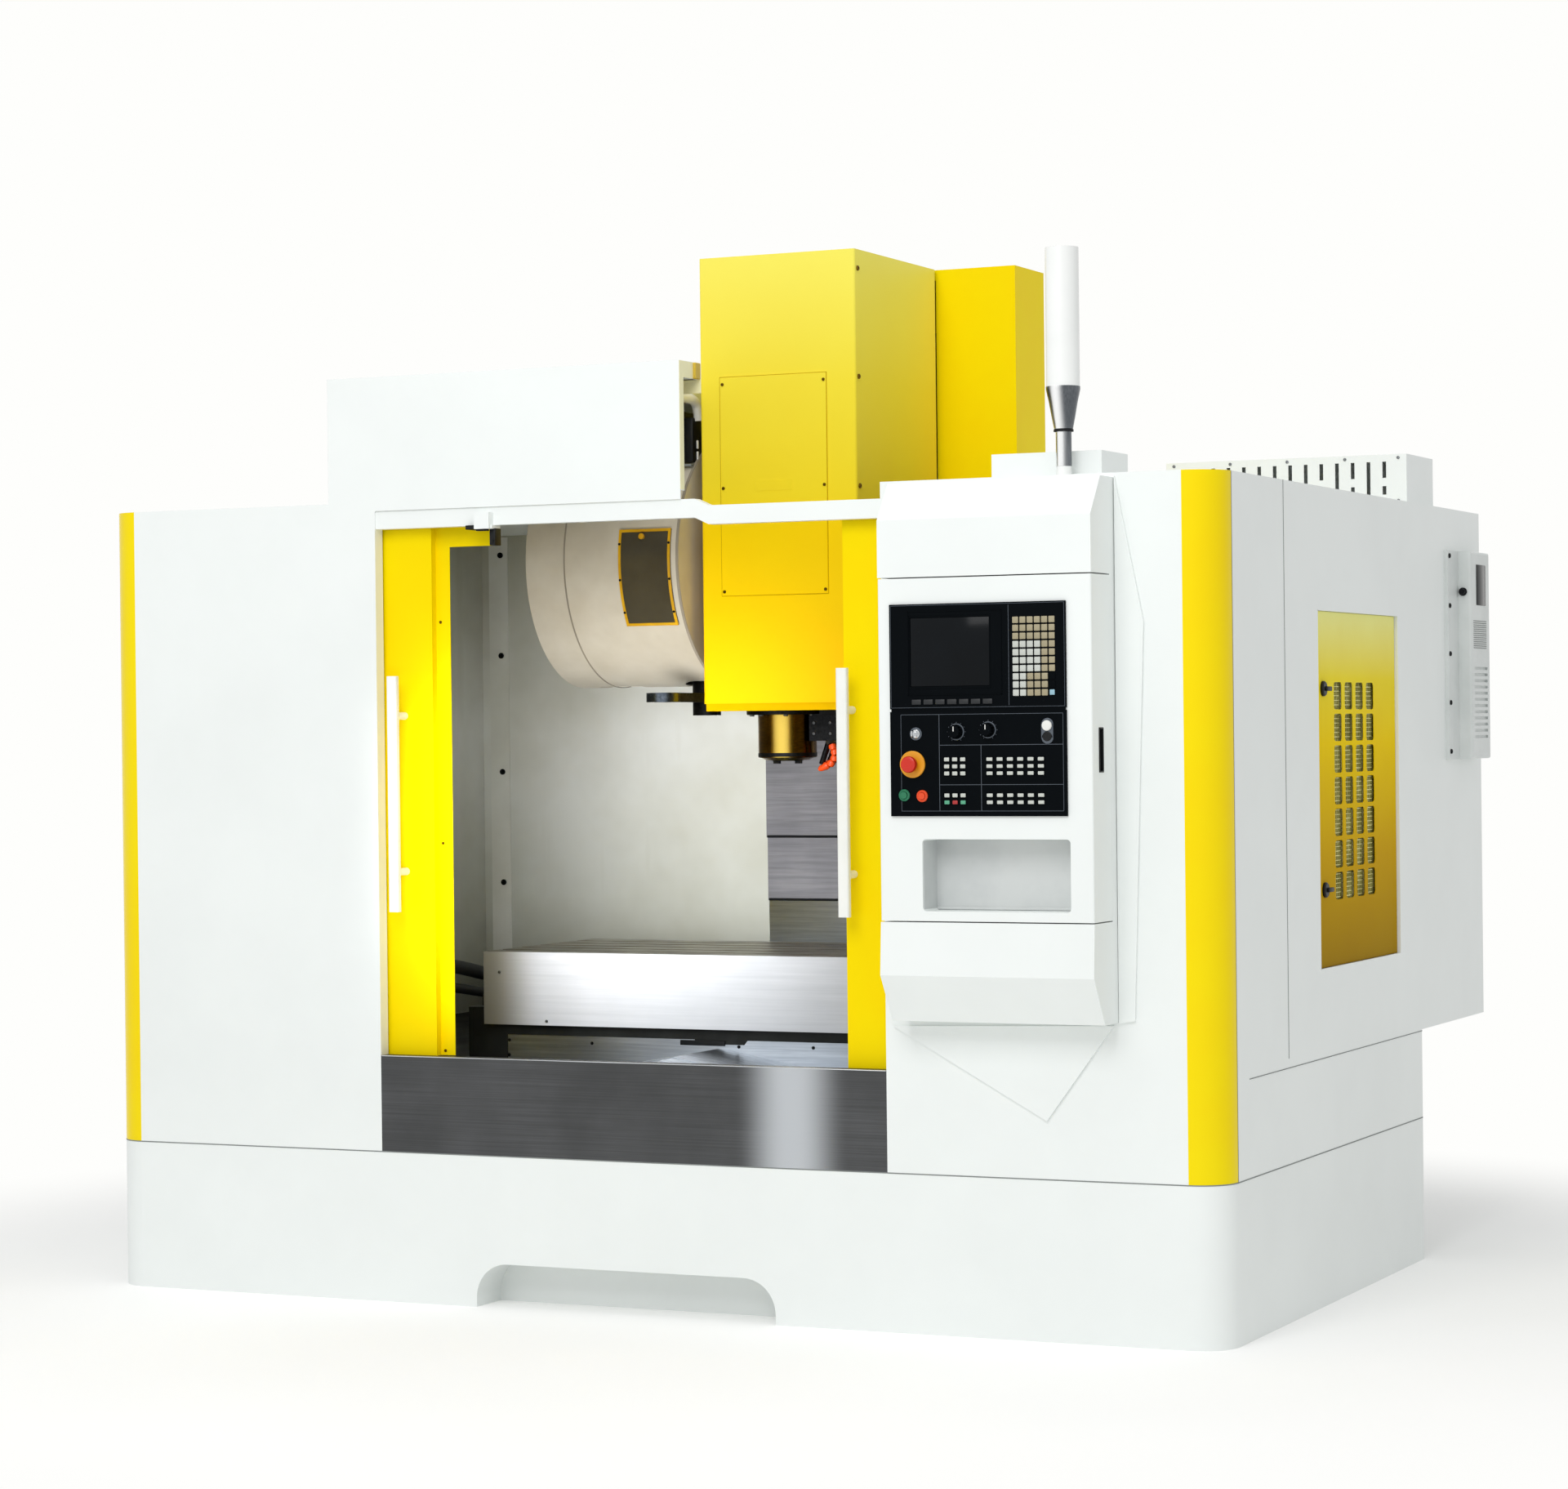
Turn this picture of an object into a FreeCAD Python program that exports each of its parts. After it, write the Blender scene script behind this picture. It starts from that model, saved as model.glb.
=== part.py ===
import FreeCAD, Part
import math
import os
import re
import Sketcher

# Vertical machining centre. Millimetres, +Z up, +X to the operator's right, -Y towards the operator.
# The origin is the point of the floor straight below the spindle's axis.

doc = FreeCAD.newDocument("MachiningCentre")
sheet = doc.addObject("Spreadsheet::Sheet", "Sizes")
sizes = {}
nodes = []


def size(name, number):
    """A driving dimension: one named cell of the sheet."""
    sizes[name] = number
    row = len(sizes)
    sheet.set(f"A{row}", name)
    sheet.set(f"B{row}", str(number))
    sheet.setAlias(f"B{row}", name)


# Driving dimensions in millimetres, each one named cell of the sheet.
DIMENSIONS = {
    # The whole machine
    "machine_width": 3200,
    "front_reach": 980,
    "base_depth": 1730,
    "cabin_depth": 2400,
    "base_height": 397,
    "cabin_height": 2116,
    "overhang_height": 643,
    "corner_radius": 94,
    "sheet": 3,
    "rest_gap": 0.3,
    "over": 10,
    # Bed
    "bed_half": 480,
    "bed_foot_height": 60,
    "bed_deck": 440,
    "way_height": 522,
    "rail_spread": 330,
    "way_half": 65,
    "bed_front_space": 80,
    "way_front_space": 180,
    "pedestal_front": 470,
    "pedestal_height": 560,
    "bed_back": 1200,
    "toe_height": 75,
    "toe_depth": 55,
    "core_half": 410,
    "core_depth": 300,
    "core_length": 400,
    "core_pitch": 460,
    "core_count": 4,
    # Levelling feet
    "foot_radius": 60,
    "foot_thick": 22,
    "foot_screw_radius": 16,
    "foot_inset": 38,
    # Column
    "column_half": 300,
    "column_front": 580,
    "column_foot_back": 1170,
    "column_top_back": 1000,
    "column_height": 2650,
    "column_wall": 45,
    "core_hole_radius": 85,
    "core_hole_pitch": 400,
    "core_hole_low": 950,
    # Guide rails
    "rail_half": 22,
    "rail_thick": 38,
    "rail_waist": 5,
    "saddle_rail_back": 440,
    "head_rail_spread": 200,
    "head_rail_thick": 30,
    "head_rail_low": 780,
    "head_rail_end": 40,
    # Saddle
    "saddle_half": 780,
    "saddle_front": -445,
    "saddle_depth": 525,
    "saddle_low": 575,
    "saddle_high": 742,
    "carriage_half": 43,
    "carriage_length": 110,
    "carriage_lap": 25,
    "carriage_inset": 45,
    "table_rail_spread": 180,
    "table_rail_thick": 30,
    "screw_radius": 20,
    "screw_height": 500,
    "nut_half": 50,
    "nut_length": 90,
    # slots are solids of their own on its body, so that each slot stays open from end to end for its bolts
    "table_half": 700,
    "table_front": -490,
    "table_depth": 620,
    "table_low": 780,
    "table_high": 900,
    "slot_count": 5,
    "slot_pitch": 110,
    "slot_half": 9,
    "slot_depth": 34,
    "slot_head_half": 16,
    "slot_head": 14,
    "table_carriage_spread": 215,
    # Table guards
    "guard_low": 700,
    "guard_space": 10,
    # Way cover of the Y axis
    "cover_half": 455,
    "cover_ridge": 646,
    "cover_fall": 80,
    "cover_skirt": 40,
    "cover_sheet": 2,
    "cover_length": 290,
    "cover_front_space": 90,
    "apron_half": 655,
    "apron_low": 563,
    "apron_high": 668,
    # Way cover of the Z axis
    "tower_half": 292,
    "tower_front": 472,
    "tower_step": 185,
    "tower_low": 815,
    "tower_plate": 360,
    "tower_head_plate": 465,
    # Axis drives
    "motor_half": 60,
    "motor_length": 140,
    "bearing_half": 55,
    "bearing_length": 40,
    "drive_line": 520,
    "column_cap": 40,
    "z_motor_height": 110,
    # Head
    "head_low": 1650,
    "head_high": 2150,
    "head_half": 150,
    "head_front": -100,
    "slide_half": 260,
    "slide_front": 480,
    "slide_thick": 38,
    "slide_high": 2300,
    "spindle_bore": 52,
    "screw_room": 32,
    "head_cover_left": 172,
    "head_cover_right": 300,
    "head_cover_front": 180,
    "head_cover_back": 385,
    "head_cover_low": 1576,
    "head_cover_round": 8,
    "flange_radius": 113,
    # Spindle cartridge
    "sleeve_radius": 82,
    "sleeve_low": 1425,
    "flange_low": 1545,
    "collar_radius": 60,
    "nose_face": 1415,
    "shaft_radius": 44,
    "shaft_top": 1640,
    # Spindle
    "taper_mouth": 22.2,
    "taper_end": 12.7,
    "taper_length": 65,
    "drawbar_radius": 8,
    "key_height": 8,
    "key_width": 16,
    # Spindle motor
    "spindle_motor_half": 125,
    "spindle_motor_height": 430,
    "spindle_motor_cap": 70,
    "spindle_motor_space": 160,
    "spindle_motor_back": 30,
    # Coolant nozzle block, hung under the head cover beside the spindle, with two angled nozzles
    "nozzle_block_left": 85,
    "nozzle_block_width": 80,
    "nozzle_block_depth": 80,
    "nozzle_block_low": 1470,
    "nozzle_radius": 8,
    "nozzle_length": 75,
    # Column cover
    "column_cover_wing": 540,
    "column_cover_space": 10,
    "column_cover_front": 400,
    "column_cover_step": 625,
    "column_cover_back": 1075,
    "column_cover_neck": 320,
    "hood_high": 2448,
    "hood_clearance": 12,
    # Base tray
    "tray_wall": 4,
    "tray_flange": 60,
    "bed_clearance": 10,
    "notch_left": -459,
    "notch_right": 406,
    "notch_height": 115,
    "notch_depth": 130,
    "notch_round": 90,
    # Front panels
    "doorway_left": -742,
    "doorway_right": 718,
    "front_fold": 38,
    "end_fold": 22,
    "facet_height": 8,
    # Front sill
    "sill_high": 652,
    # Cross beam over the doorway
    "beam_front_space": 5,
    "beam_depth": 33,
    "beam_left_low": 2045,
    "beam_left_high": 2093,
    "beam_right_low": 2027,
    "beam_right_high": 2075,
    "beam_bend": 200,
    "beam_slope": 40,
    "switch_left": -430,
    "switch_width": 44,
    "switch_reach": 20,
    # Side panel on the left, folded round the rear corner
    "bed_opening": 490,
    # Side panel on the right
    "service_front": -195,
    "service_back": 545,
    "service_low": 867,
    "service_high": 1797,
    "service_frame": 30,
    "service_stop": 14,
    "leaf_gap": 3,
    "leaf_setback": 9,
    "leaf_thick": 18,
    # Service door
    "leaf_edge_round": 3,
    "leaf_columns": 4,
    "leaf_rows": 7,
    "leaf_column_pitch": 98,
    "leaf_row_pitch": 83,
    "leaf_slot_width": 60,
    "leaf_slot_height": 68,
    "leaf_slot_front": 8,
    "leaf_slot_low": 1075,
    "latch_radius": 24,
    "latch_place": -140,
    "latch_low": 1071,
    "latch_high": 1593,
    # Roof
    "hood_left": -886,
    "hood_back": 435,
    "hood_lap": 10,
    "roof_box_left": 921,
    "roof_box_width": 295,
    "roof_box_front": -740,
    "roof_box_depth": 190,
    "roof_box_height": 74,
    "column_clearance": 8,
    # Magazine hood
    "hood_front_right": 163,
    "hood_flange": 25,
    "hood_rim": 43,
    "hood_front_depth": 110,
    "hood_right": -215,
    "hood_drop": 23,
    "hood_round": 38,
    "hood_window_high": 2420,
    # Inner walls of the work room and the door rails between them
    "wall_half": 1375,
    "wall_front": -940,
    "wall_back": 710,
    "wall_low": 640,
    "door_low": 651,
    "door_high": 2049,
    "door_rail_back": 925,
    # Chip pans
    "pan_lap": 18,
    # Electrical cabinet at the rear right, standing on the overhang's floor
    "cabinet_left": 550,
    "cabinet_right": 1590,
    "cabinet_front": 760,
    "cabinet_back": 1414,
    "cabinet_high": 2105,
    # Cabinet cooler
    "cooler_low": 1395,
    "cooler_high": 1995,
    "cooler_flange_front": 1030,
    "cooler_front": 1140,
    "cooler_back": 1345,
    "cooler_edge_round": 9,
    "cooler_reach": 50,
    "cooler_flange_thick": 12,
    # Vent box on the roof over the cabinet
    "vent_left": 846,
    "vent_right": 1559,
    "vent_front": 798,
    "vent_back": 1071,
    "vent_high": 2259,
    "vent_slot_pitch": 46,
    "vent_slot_pairs": 7,
    "vent_slot_width": 11,
    "vent_slot_low": 30,
    "vent_slot_rim": 20,
    "vent_slot_bridge": 23,
    "vent_slot_short": 24,
    # Signal lamp
    "lamp_place": 1131,
    "lamp_front": -780,
    "lamp_pole_radius": 19,
    "lamp_cone_low": 2243,
    "lamp_tube_low": 2343,
    "lamp_high": 2694,
    "lamp_radius": 42,
    # Sliding doors
    "door_space": 45,
    "left_door_outer": -1347,
    "left_door_edge": -597,
    "right_door_edge": 594,
    "right_door_outer": 1342,
    "door_fold": 20,
    "window_width": 380,
    "window_low": 1150,
    "window_high": 1850,
    "window_inset": 110,
    "pane_thick": 6,
    "pane_lap": 15,
    "handle_low": 1033,
    "handle_high": 1655,
    "handle_width": 30,
    "handle_thick": 20,
    "handle_reach": 70,
    "handle_end": 105,
    "handle_foot_radius": 10,
    "left_handle_place": -684,
    "right_handle_place": 616,
    # The left leaf carries a lap plate, which passes behind the right leaf, with an arm along the top
    "lap_width": 42,
    "lap_thick": 3,
    "lap_overlap": 14,
    "lap_arm": 174,
    "lap_arm_height": 54,
    "lap_step": 3,
    # Console housing
    "console_left": 780,
    "console_right": 1335,
    "console_reach": 165,
    "console_plate": 40,
    "console_low": 785,
    "console_high": 2104,
    "console_door_low": 1034,
    "console_door_high": 1867,
    "console_gap": 3,
    # Console door
    "niche_left": 892,
    "niche_right": 1276,
    "niche_low": 1058,
    "niche_high": 1233,
    "niche_depth": 90,
    "unit_left": 813,
    "unit_right": 1271,
    "display_low": 1549,
    "display_high": 1804,
    "operator_low": 1289,
    "operator_high": 1543,
    "bezel": 10,
    "unit_proud": 6,
    "unit_depth": 60,
    "grip_low": 1395,
    "grip_high": 1497,
    # Operator panel with its fixed keys, rings round the push-buttons and bores for the moving ones
    "stop_place": 872,
    "stop_height": 1415,
    "start_place": 849,
    "start_height": 1340,
    "hold_place": 896,
    "hold_height": 1338,
    "feed_place": 987,
    "feed_height": 1493,
    "speed_place": 1070,
    "speed_height": 1497,
    "lock_place": 881,
    "lock_height": 1489,
    "mushroom_radius": 20,
    "mushroom_stem": 9,
    "button_radius": 9,
    "knob_radius": 17,
    "knob_stem": 5,
    "lock_radius": 11,
    # Tool changer
    "drum_line": 80,
    "drum_height": 1978,
    "gear_left": -400,
    "gear_right": -230,
    "gear_front": -60,
    "gear_back": 200,
    "gear_low": 1682,
    "gear_high": 2080,
    "arm_place": -270,
    "arm_line": 40,
    "boss_radius": 55,
    "boss_low": 1642,
    "bracket_low": 1850,
    "bracket_high": 2050,
    "bracket_back": 690,
    "shaft_of_disc": 28,
    "drum_left": -680,
    "drum_right": -200,
    "drum_radius": 350,
    # Drum cover
    "drum_window_left": -371,
    "drum_window_right": -236,
    "drum_window_low": 1812,
    "drum_window_high": 2048,
    "drum_frame": 12,
    "pot_hole_left": -612,
    "pot_hole_right": -478,
    "pot_hole_half": 45,
    # Tool disc
    "pot_circle": 275,
    "pot_count": 20,
    "pot_radius": 33,
    "pot_length": 110,
    "pot_mouth": -625,
    "disc_left": -495,
    "disc_thick": 20,
    "disc_radius": 300,
    "pot_hinge": -560,
    "pot_pin_radius": 6,
    # Arm hub and double swap arm under the drum
    "hub_radius": 40,
    "hub_low": 1545,
    "arm_low": 1582,
    "arm_high": 1608,
    "arm_radius": 273,
    "arm_half": 30,
    "gripper_radius": 47,
    "gripper_room": 31,
}
for name, number in DIMENSIONS.items():
    size(name, number)



def link(text):
    """An expression on the sheet's cells, from words and arithmetic."""
    return re.sub(r"[a-z_]{3,}", lambda word: "Sizes." + word.group(0) if word.group(0) in sizes else word.group(0), text)


def place(item, corner):
    for axis, text in zip("xyz", corner):
        item.setExpression("Placement.Base." + axis, link(text))


def block(name, extent, corner):
    """A box from its extent along X, Y and Z and its lowest corner."""
    item = doc.addObject("Part::Box", name)
    for side, text in zip(("Length", "Width", "Height"), extent):
        item.setExpression(side, link(text))
    place(item, corner)
    return item


DIRECTIONS = {
    "x": FreeCAD.Rotation(FreeCAD.Vector(0, 0, 1), FreeCAD.Vector(1, 0, 0)),
    "y": FreeCAD.Rotation(FreeCAD.Vector(1, 0, 0), -90),
    "z": FreeCAD.Rotation(),
}


def rod(name, radius, length, start, along="z", sweep=None):
    """A round bar from the centre of its first end."""
    item = doc.addObject("Part::Cylinder", name)
    item.setExpression("Radius", link(radius))
    item.setExpression("Height", link(length))
    if sweep:
        item.Angle = sweep
    item.Placement = FreeCAD.Placement(FreeCAD.Vector(), DIRECTIONS[along])
    place(item, start)
    return item


def cone(name, first_radius, last_radius, length, start, along="z"):
    item = doc.addObject("Part::Cone", name)
    item.setExpression("Radius1", link(first_radius))
    item.setExpression("Radius2", link(last_radius))
    item.setExpression("Height", link(length))
    item.Placement = FreeCAD.Placement(FreeCAD.Vector(), DIRECTIONS[along])
    place(item, start)
    return item


def together(name, pieces):
    """Separate solids that share one node."""
    item = doc.addObject("Part::Compound", name)
    item.Links = pieces
    return item


def welded(name, pieces):
    item = doc.addObject("Part::MultiFuse", name)
    item.Shapes = pieces
    item.Refine = True
    return item


def carved(name, base, tools):
    item = doc.addObject("Part::Cut", name)
    item.Base = base
    item.Tool = tools[0] if len(tools) == 1 else together(name + "_tools", tools)
    item.Refine = True
    return item


def edges_where(shape, test):
    """Numbers of the straight edges whose two ends pass a test."""
    found = []
    for number, edge in enumerate(shape.Edges, 1):
        if len(edge.Vertexes) == 2 and edge.Curve.TypeId == "Part::GeomLine":
            if test(edge.Vertexes[0].Point, edge.Vertexes[1].Point):
                found.append(number)
    return found


def upright(first, last):
    return abs(first.x - last.x) < 0.01 and abs(first.y - last.y) < 0.01


def crosswise(first, last):
    return abs(first.y - last.y) < 0.01 and abs(first.z - last.z) < 0.01


def lengthwise(first, last):
    return abs(first.x - last.x) < 0.01 and abs(first.z - last.z) < 0.01


def rounded(name, base, radius, test):
    """Fillets of one radius on the edges that pass a test."""
    if base.Shape.isNull() or "Touched" in base.State:
        doc.recompute()
    item = doc.addObject("Part::Fillet", name)
    item.Base = base
    item.Edges = [(number, radius, radius) for number in edges_where(base.Shape, test)]
    return item


def node(item, name):
    """Gives a finished sub-part the label that names its file."""
    item.Label = name
    nodes.append(item)
    return item


# Sketched bodies ------------------------------------------------------------------------------------

PLANES = {"XY": "XY_Plane", "XZ": "XZ_Plane", "YZ": "YZ_Plane"}


def sketch_on(body, plane, start, loops, circles=()):
    """A closed sketch on a plane of the body's origin, moved to start along the plane's axis."""
    sketch = body.newObject("Sketcher::SketchObject", body.Name + "_sketch")
    support = [part for part in body.Origin.OriginFeatures if part.Role == PLANES[plane]][0]
    sketch.AttachmentSupport = [(support, "")]
    sketch.MapMode = "FlatFace"
    shift = f"-({start})" if plane == "XZ" else start
    sketch.setExpression("AttachmentOffset.Base.z", link(shift))
    for loop in loops:
        draw_loop(sketch, loop)
    for across, up, radius in circles:
        draw_circle(sketch, across, up, radius)
    return sketch


def fix_point(sketch, geometry, corner, across, up):
    for kind, text in (("DistanceX", across), ("DistanceY", up)):
        number = sketch.addConstraint(Sketcher.Constraint(kind, -1, 1, geometry, corner, 1.0))
        sketch.setExpression(f"Constraints[{number}]", link(text))


def draw_loop(sketch, loop):
    first = sketch.GeometryCount
    count = len(loop)
    for step in range(count):
        angle = 2 * math.pi * step / count
        after = 2 * math.pi * (step + 1) / count
        start = FreeCAD.Vector(math.cos(angle), math.sin(angle), 0)
        end = FreeCAD.Vector(math.cos(after), math.sin(after), 0)
        sketch.addGeometry(Part.LineSegment(start, end))
    for step in range(count):
        following = first + (step + 1) % count
        sketch.addConstraint(Sketcher.Constraint("Coincident", first + step, 2, following, 1))
    for step, (across, up) in enumerate(loop):
        fix_point(sketch, first + step, 1, across, up)


def draw_circle(sketch, across, up, radius):
    number = sketch.addGeometry(Part.Circle(FreeCAD.Vector(0, 0, 0), FreeCAD.Vector(0, 0, 1), 5))
    fix_point(sketch, number, 3, across, up)
    bound = sketch.addConstraint(Sketcher.Constraint("Radius", number, 5))
    sketch.setExpression(f"Constraints[{bound}]", link(radius))


def new_body(name):
    return doc.addObject("PartDesign::Body", name)


def pad(body, plane, start, length, loops, circles=()):
    feature = body.newObject("PartDesign::Pad", body.Name + "_pad")
    feature.Profile = sketch_on(body, plane, start, loops, circles)
    feature.setExpression("Length", link(length))
    feature.Reversed = plane == "XZ"
    return feature


def pocket(body, plane, start, length, loops, circles=()):
    """Cuts from start towards the plane's positive axis."""
    feature = body.newObject("PartDesign::Pocket", body.Name + "_pocket")
    feature.Profile = sketch_on(body, plane, start, loops, circles)
    feature.setExpression("Length", link(length))
    feature.Reversed = plane != "XZ"
    return feature


AXES = {"x": "X_Axis", "y": "Y_Axis", "z": "Z_Axis"}


def row_of(body, feature, along, length, copies):
    """Repeats a feature in a straight row."""
    pattern = body.newObject("PartDesign::LinearPattern", body.Name + "_row")
    pattern.Originals = [feature]
    axis = [part for part in body.Origin.OriginFeatures if part.Role == AXES[along]][0]
    pattern.Direction = (axis, [""])
    pattern.setExpression("Length", link(length))
    pattern.setExpression("Occurrences", link(copies))
    body.Tip = pattern
    return pattern


def box_loop(left, right, low, high):
    return [(left, low), (right, low), (right, high), (left, high)]


# The whole machine ------------------------------------------------------------------------------------


FRONT = "-front_reach"
LEFT = "-machine_width/2"
RIGHT = "machine_width/2"
COVER_TOP = "column_height + column_cap + z_motor_height + column_cover_space"
HEAD_TOP = "head_high + spindle_motor_height + spindle_motor_cap + spindle_motor_space"
BASE_BACK = "base_depth - front_reach"
CABIN_BACK = "cabin_depth - front_reach"

# Bed: cast box with two raised ways for the rails, and a pedestal behind that carries the column.

bed = new_body("bed_casting_body")
pad(bed, "XZ", f"{FRONT} + bed_front_space", "pedestal_front + front_reach - bed_front_space",
    [box_loop("-bed_half", "bed_half", "bed_foot_height", "bed_deck")])
pad(bed, "XZ", f"{FRONT} + way_front_space", "pedestal_front + front_reach - way_front_space",
    [box_loop("rail_spread - way_half", "rail_spread + way_half", "bed_deck - over", "way_height"),
     box_loop("-rail_spread - way_half", "-rail_spread + way_half", "bed_deck - over", "way_height")])
pad(bed, "XZ", "pedestal_front", "bed_back - pedestal_front",
    [box_loop("-bed_half", "bed_half", "bed_foot_height", "pedestal_height")])
core = pocket(bed, "XY", "bed_foot_height - over", "core_depth + over",
              [box_loop("-core_half", "core_half", f"{FRONT} + bed_front_space + bed_foot_height",
                        f"{FRONT} + bed_front_space + bed_foot_height + core_length")])
row_of(bed, core, "y", "core_pitch*(core_count - 1)", "core_count")
pocket(bed, "XY", "bed_foot_height - over", "toe_height + over",
       [box_loop("-bed_half - over", "bed_half + over", f"{FRONT} + bed_front_space - over",
                 f"{FRONT} + bed_front_space + toe_depth")])
node(bed, "bed_casting")

# Levelling feet: a round pad and a screw under the bed's edge at eight places.

foot_places = (f"{FRONT} + bed_front_space + toe_depth + foot_radius + over", "-180", "470", "bed_back - foot_radius - over")
feet = []
for side in ("-", ""):
    for number, along in enumerate(foot_places):
        across = f"{side}(bed_half - foot_inset)"
        name = f"foot_{len(feet)}"
        feet.append(welded(name, [
            rod(name + "_pad", "foot_radius", "foot_thick", (across, along, "0")),
            rod(name + "_screw", "foot_screw_radius", "bed_foot_height", (across, along, "0"))]))
node(together("feet", feet), "levelling_feet")

# Column: cast box that narrows upwards at its back, hollow, with round core holes through its sides.

column = new_body("column_casting_body")
pad(column, "YZ", "-column_half", "2*column_half",
    [[("column_front", "pedestal_height"), ("column_foot_back", "pedestal_height"),
      ("column_foot_back", "pedestal_height + 140"), ("column_top_back", "column_height"),
      ("column_front", "column_height")]])
pocket(column, "YZ", "-column_half + column_wall", "2*column_half - 2*column_wall",
       [[("column_front + column_wall", "pedestal_height + column_wall"),
         ("column_foot_back - column_wall", "pedestal_height + column_wall"),
         ("column_foot_back - column_wall", "pedestal_height + 140"),
         ("column_top_back - column_wall", "column_height - column_wall"),
         ("column_front + column_wall", "column_height - column_wall")]])
hole = pocket(column, "YZ", "-column_half - over", "2*column_half + 2*over", [],
              [("(column_front + column_top_back)/2", "core_hole_low", "core_hole_radius")])
row_of(column, hole, "z", "core_hole_pitch*3", "4")
node(column, "column_casting")

# Guide rails: ground steel rails with a waisted section, two on the bed and two on the column.


def rail_loop(centre, base, thick):
    """Waisted section of a rail, standing on base."""
    return [(f"{centre} - rail_half", base), (f"{centre} + rail_half", base),
            (f"{centre} + rail_half", f"{base} + {thick}/3"),
            (f"{centre} + rail_half - rail_waist", f"{base} + {thick}/2"),
            (f"{centre} + rail_half", f"{base} + 2*{thick}/3"),
            (f"{centre} + rail_half", f"{base} + {thick}"),
            (f"{centre} - rail_half", f"{base} + {thick}"),
            (f"{centre} - rail_half", f"{base} + 2*{thick}/3"),
            (f"{centre} - rail_half + rail_waist", f"{base} + {thick}/2"),
            (f"{centre} - rail_half", f"{base} + {thick}/3")]


rails = []
for side, label in (("-", "left"), ("", "right")):
    rail = new_body(f"bed_rail_{label}")
    pad(rail, "XZ", f"{FRONT} + way_front_space + over", "saddle_rail_back + front_reach - way_front_space - over",
        [rail_loop(f"{side}rail_spread", "way_height", "rail_thick")])
    rails.append(rail)
    rail = new_body(f"column_rail_{label}")
    section = rail_loop(f"{side}head_rail_spread", "0", "head_rail_thick")
    pad(rail, "XY", "head_rail_low", "column_height - head_rail_end - head_rail_low",
        [[(across, f"column_front - ({up})") for across, up in section]])
    rails.append(rail)
node(together("rails", rails), "guide_rails")

# Saddle: casting that carries the table's rails across the machine and rides on the bed's rails.

SADDLE_MIDDLE = "saddle_front + saddle_depth/2"
saddle_pieces = [block("saddle_plate", ("2*saddle_half", "saddle_depth", "saddle_high - saddle_low"),
                       ("-saddle_half", "saddle_front", "saddle_low"))]
saddle_cuts = []
for side in ("-", ""):
    for end, along in enumerate(("saddle_front + carriage_inset",
                                 "saddle_front + saddle_depth - carriage_inset - carriage_length")):
        saddle_pieces.append(block("saddle_carriage", ("2*carriage_half", "carriage_length", "saddle_low - way_height - 12"),
                                   (f"{side}rail_spread - carriage_half", along, "way_height + 12")))
    saddle_cuts.append(block("saddle_rail_room", ("2*rail_half + 2*rest_gap", "saddle_depth + 2*over", "rail_thick + rest_gap"),
                             (f"{side}rail_spread - rail_half - rest_gap", "saddle_front - over", "way_height")))
    along = f"{SADDLE_MIDDLE} {'+' if side == '' else '-'} table_rail_spread - rail_half"
    saddle_pieces.append(block("table_rail", ("2*saddle_half - 2*over", "2*rail_half", "table_rail_thick"),
                               ("-saddle_half + over", along, "saddle_high")))
    saddle_cuts.append(block("saddle_core", ("saddle_half/2", "saddle_depth - 4*carriage_inset", "(saddle_high - saddle_low)/2"),
                             (f"{side}0.7*saddle_half - saddle_half/4", "saddle_front + 2*carriage_inset", "saddle_low - over")))
saddle_pieces.append(block("saddle_nut", ("2*nut_half", "nut_length", "saddle_low - screw_height + nut_half"),
                           ("-nut_half", f"{SADDLE_MIDDLE} - nut_length/2", "screw_height - nut_half")))
saddle_cuts.append(rod("saddle_nut_bore", "screw_radius + rest_gap", "saddle_depth",
                       ("0", "saddle_front", "screw_height"), "y"))
node(carved("saddle_body", welded("saddle_raw", saddle_pieces), saddle_cuts), "saddle")

# Table: ground casting with five T-slots along its length, and carriages under it. The lands between the
# slots are solids of their own on its body, so that each slot stays open from end to end for its bolts.

TABLE_MIDDLE = "table_front + table_depth/2"
table = new_body("table_body")
pad(table, "YZ", "-table_half", "2*table_half",
    [[("table_front", "table_low + 40"), ("table_front + 30", "table_low"),
      ("table_front + table_depth - 30", "table_low"), ("table_front + table_depth", "table_low + 40"),
      ("table_front + table_depth", "table_high"), ("table_front", "table_high")]])
slot_middle = f"{TABLE_MIDDLE} - slot_pitch*(slot_count - 1)/2"
slot = pocket(table, "YZ", "-table_half - over", "2*table_half + 2*over",
              [[(f"{slot_middle} - slot_head_half", "table_high - slot_depth"),
                (f"{slot_middle} + slot_head_half", "table_high - slot_depth"),
                (f"{slot_middle} + slot_head_half", "table_high - slot_depth + slot_head"),
                (f"{slot_middle} + slot_half", "table_high - slot_depth + slot_head"),
                (f"{slot_middle} + slot_half", "table_high + over"),
                (f"{slot_middle} - slot_half", "table_high + over"),
                (f"{slot_middle} - slot_half", "table_high - slot_depth + slot_head"),
                (f"{slot_middle} - slot_head_half", "table_high - slot_depth + slot_head")]])
row_of(table, slot, "y", "slot_pitch*(slot_count - 1)", "slot_count")
table_pieces = [table]
table_cuts = []
for side, sign in (("-", "-"), ("", "+")):
    rail_line = f"{SADDLE_MIDDLE} {sign} table_rail_spread"
    for end in ("-", ""):
        table_pieces.append(block("table_carriage", ("carriage_length", "2*carriage_half", "table_low - saddle_high - 7"),
                                  (f"{end}table_carriage_spread - carriage_length/2",
                                   f"{rail_line} - carriage_half", "saddle_high + 7")))
    table_cuts.append(block("table_rail_room", ("2*table_half", "2*rail_half + 2*rest_gap", "table_rail_thick + rest_gap"),
                            ("-table_half", f"{rail_line} - rail_half - rest_gap", "saddle_high")))
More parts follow.
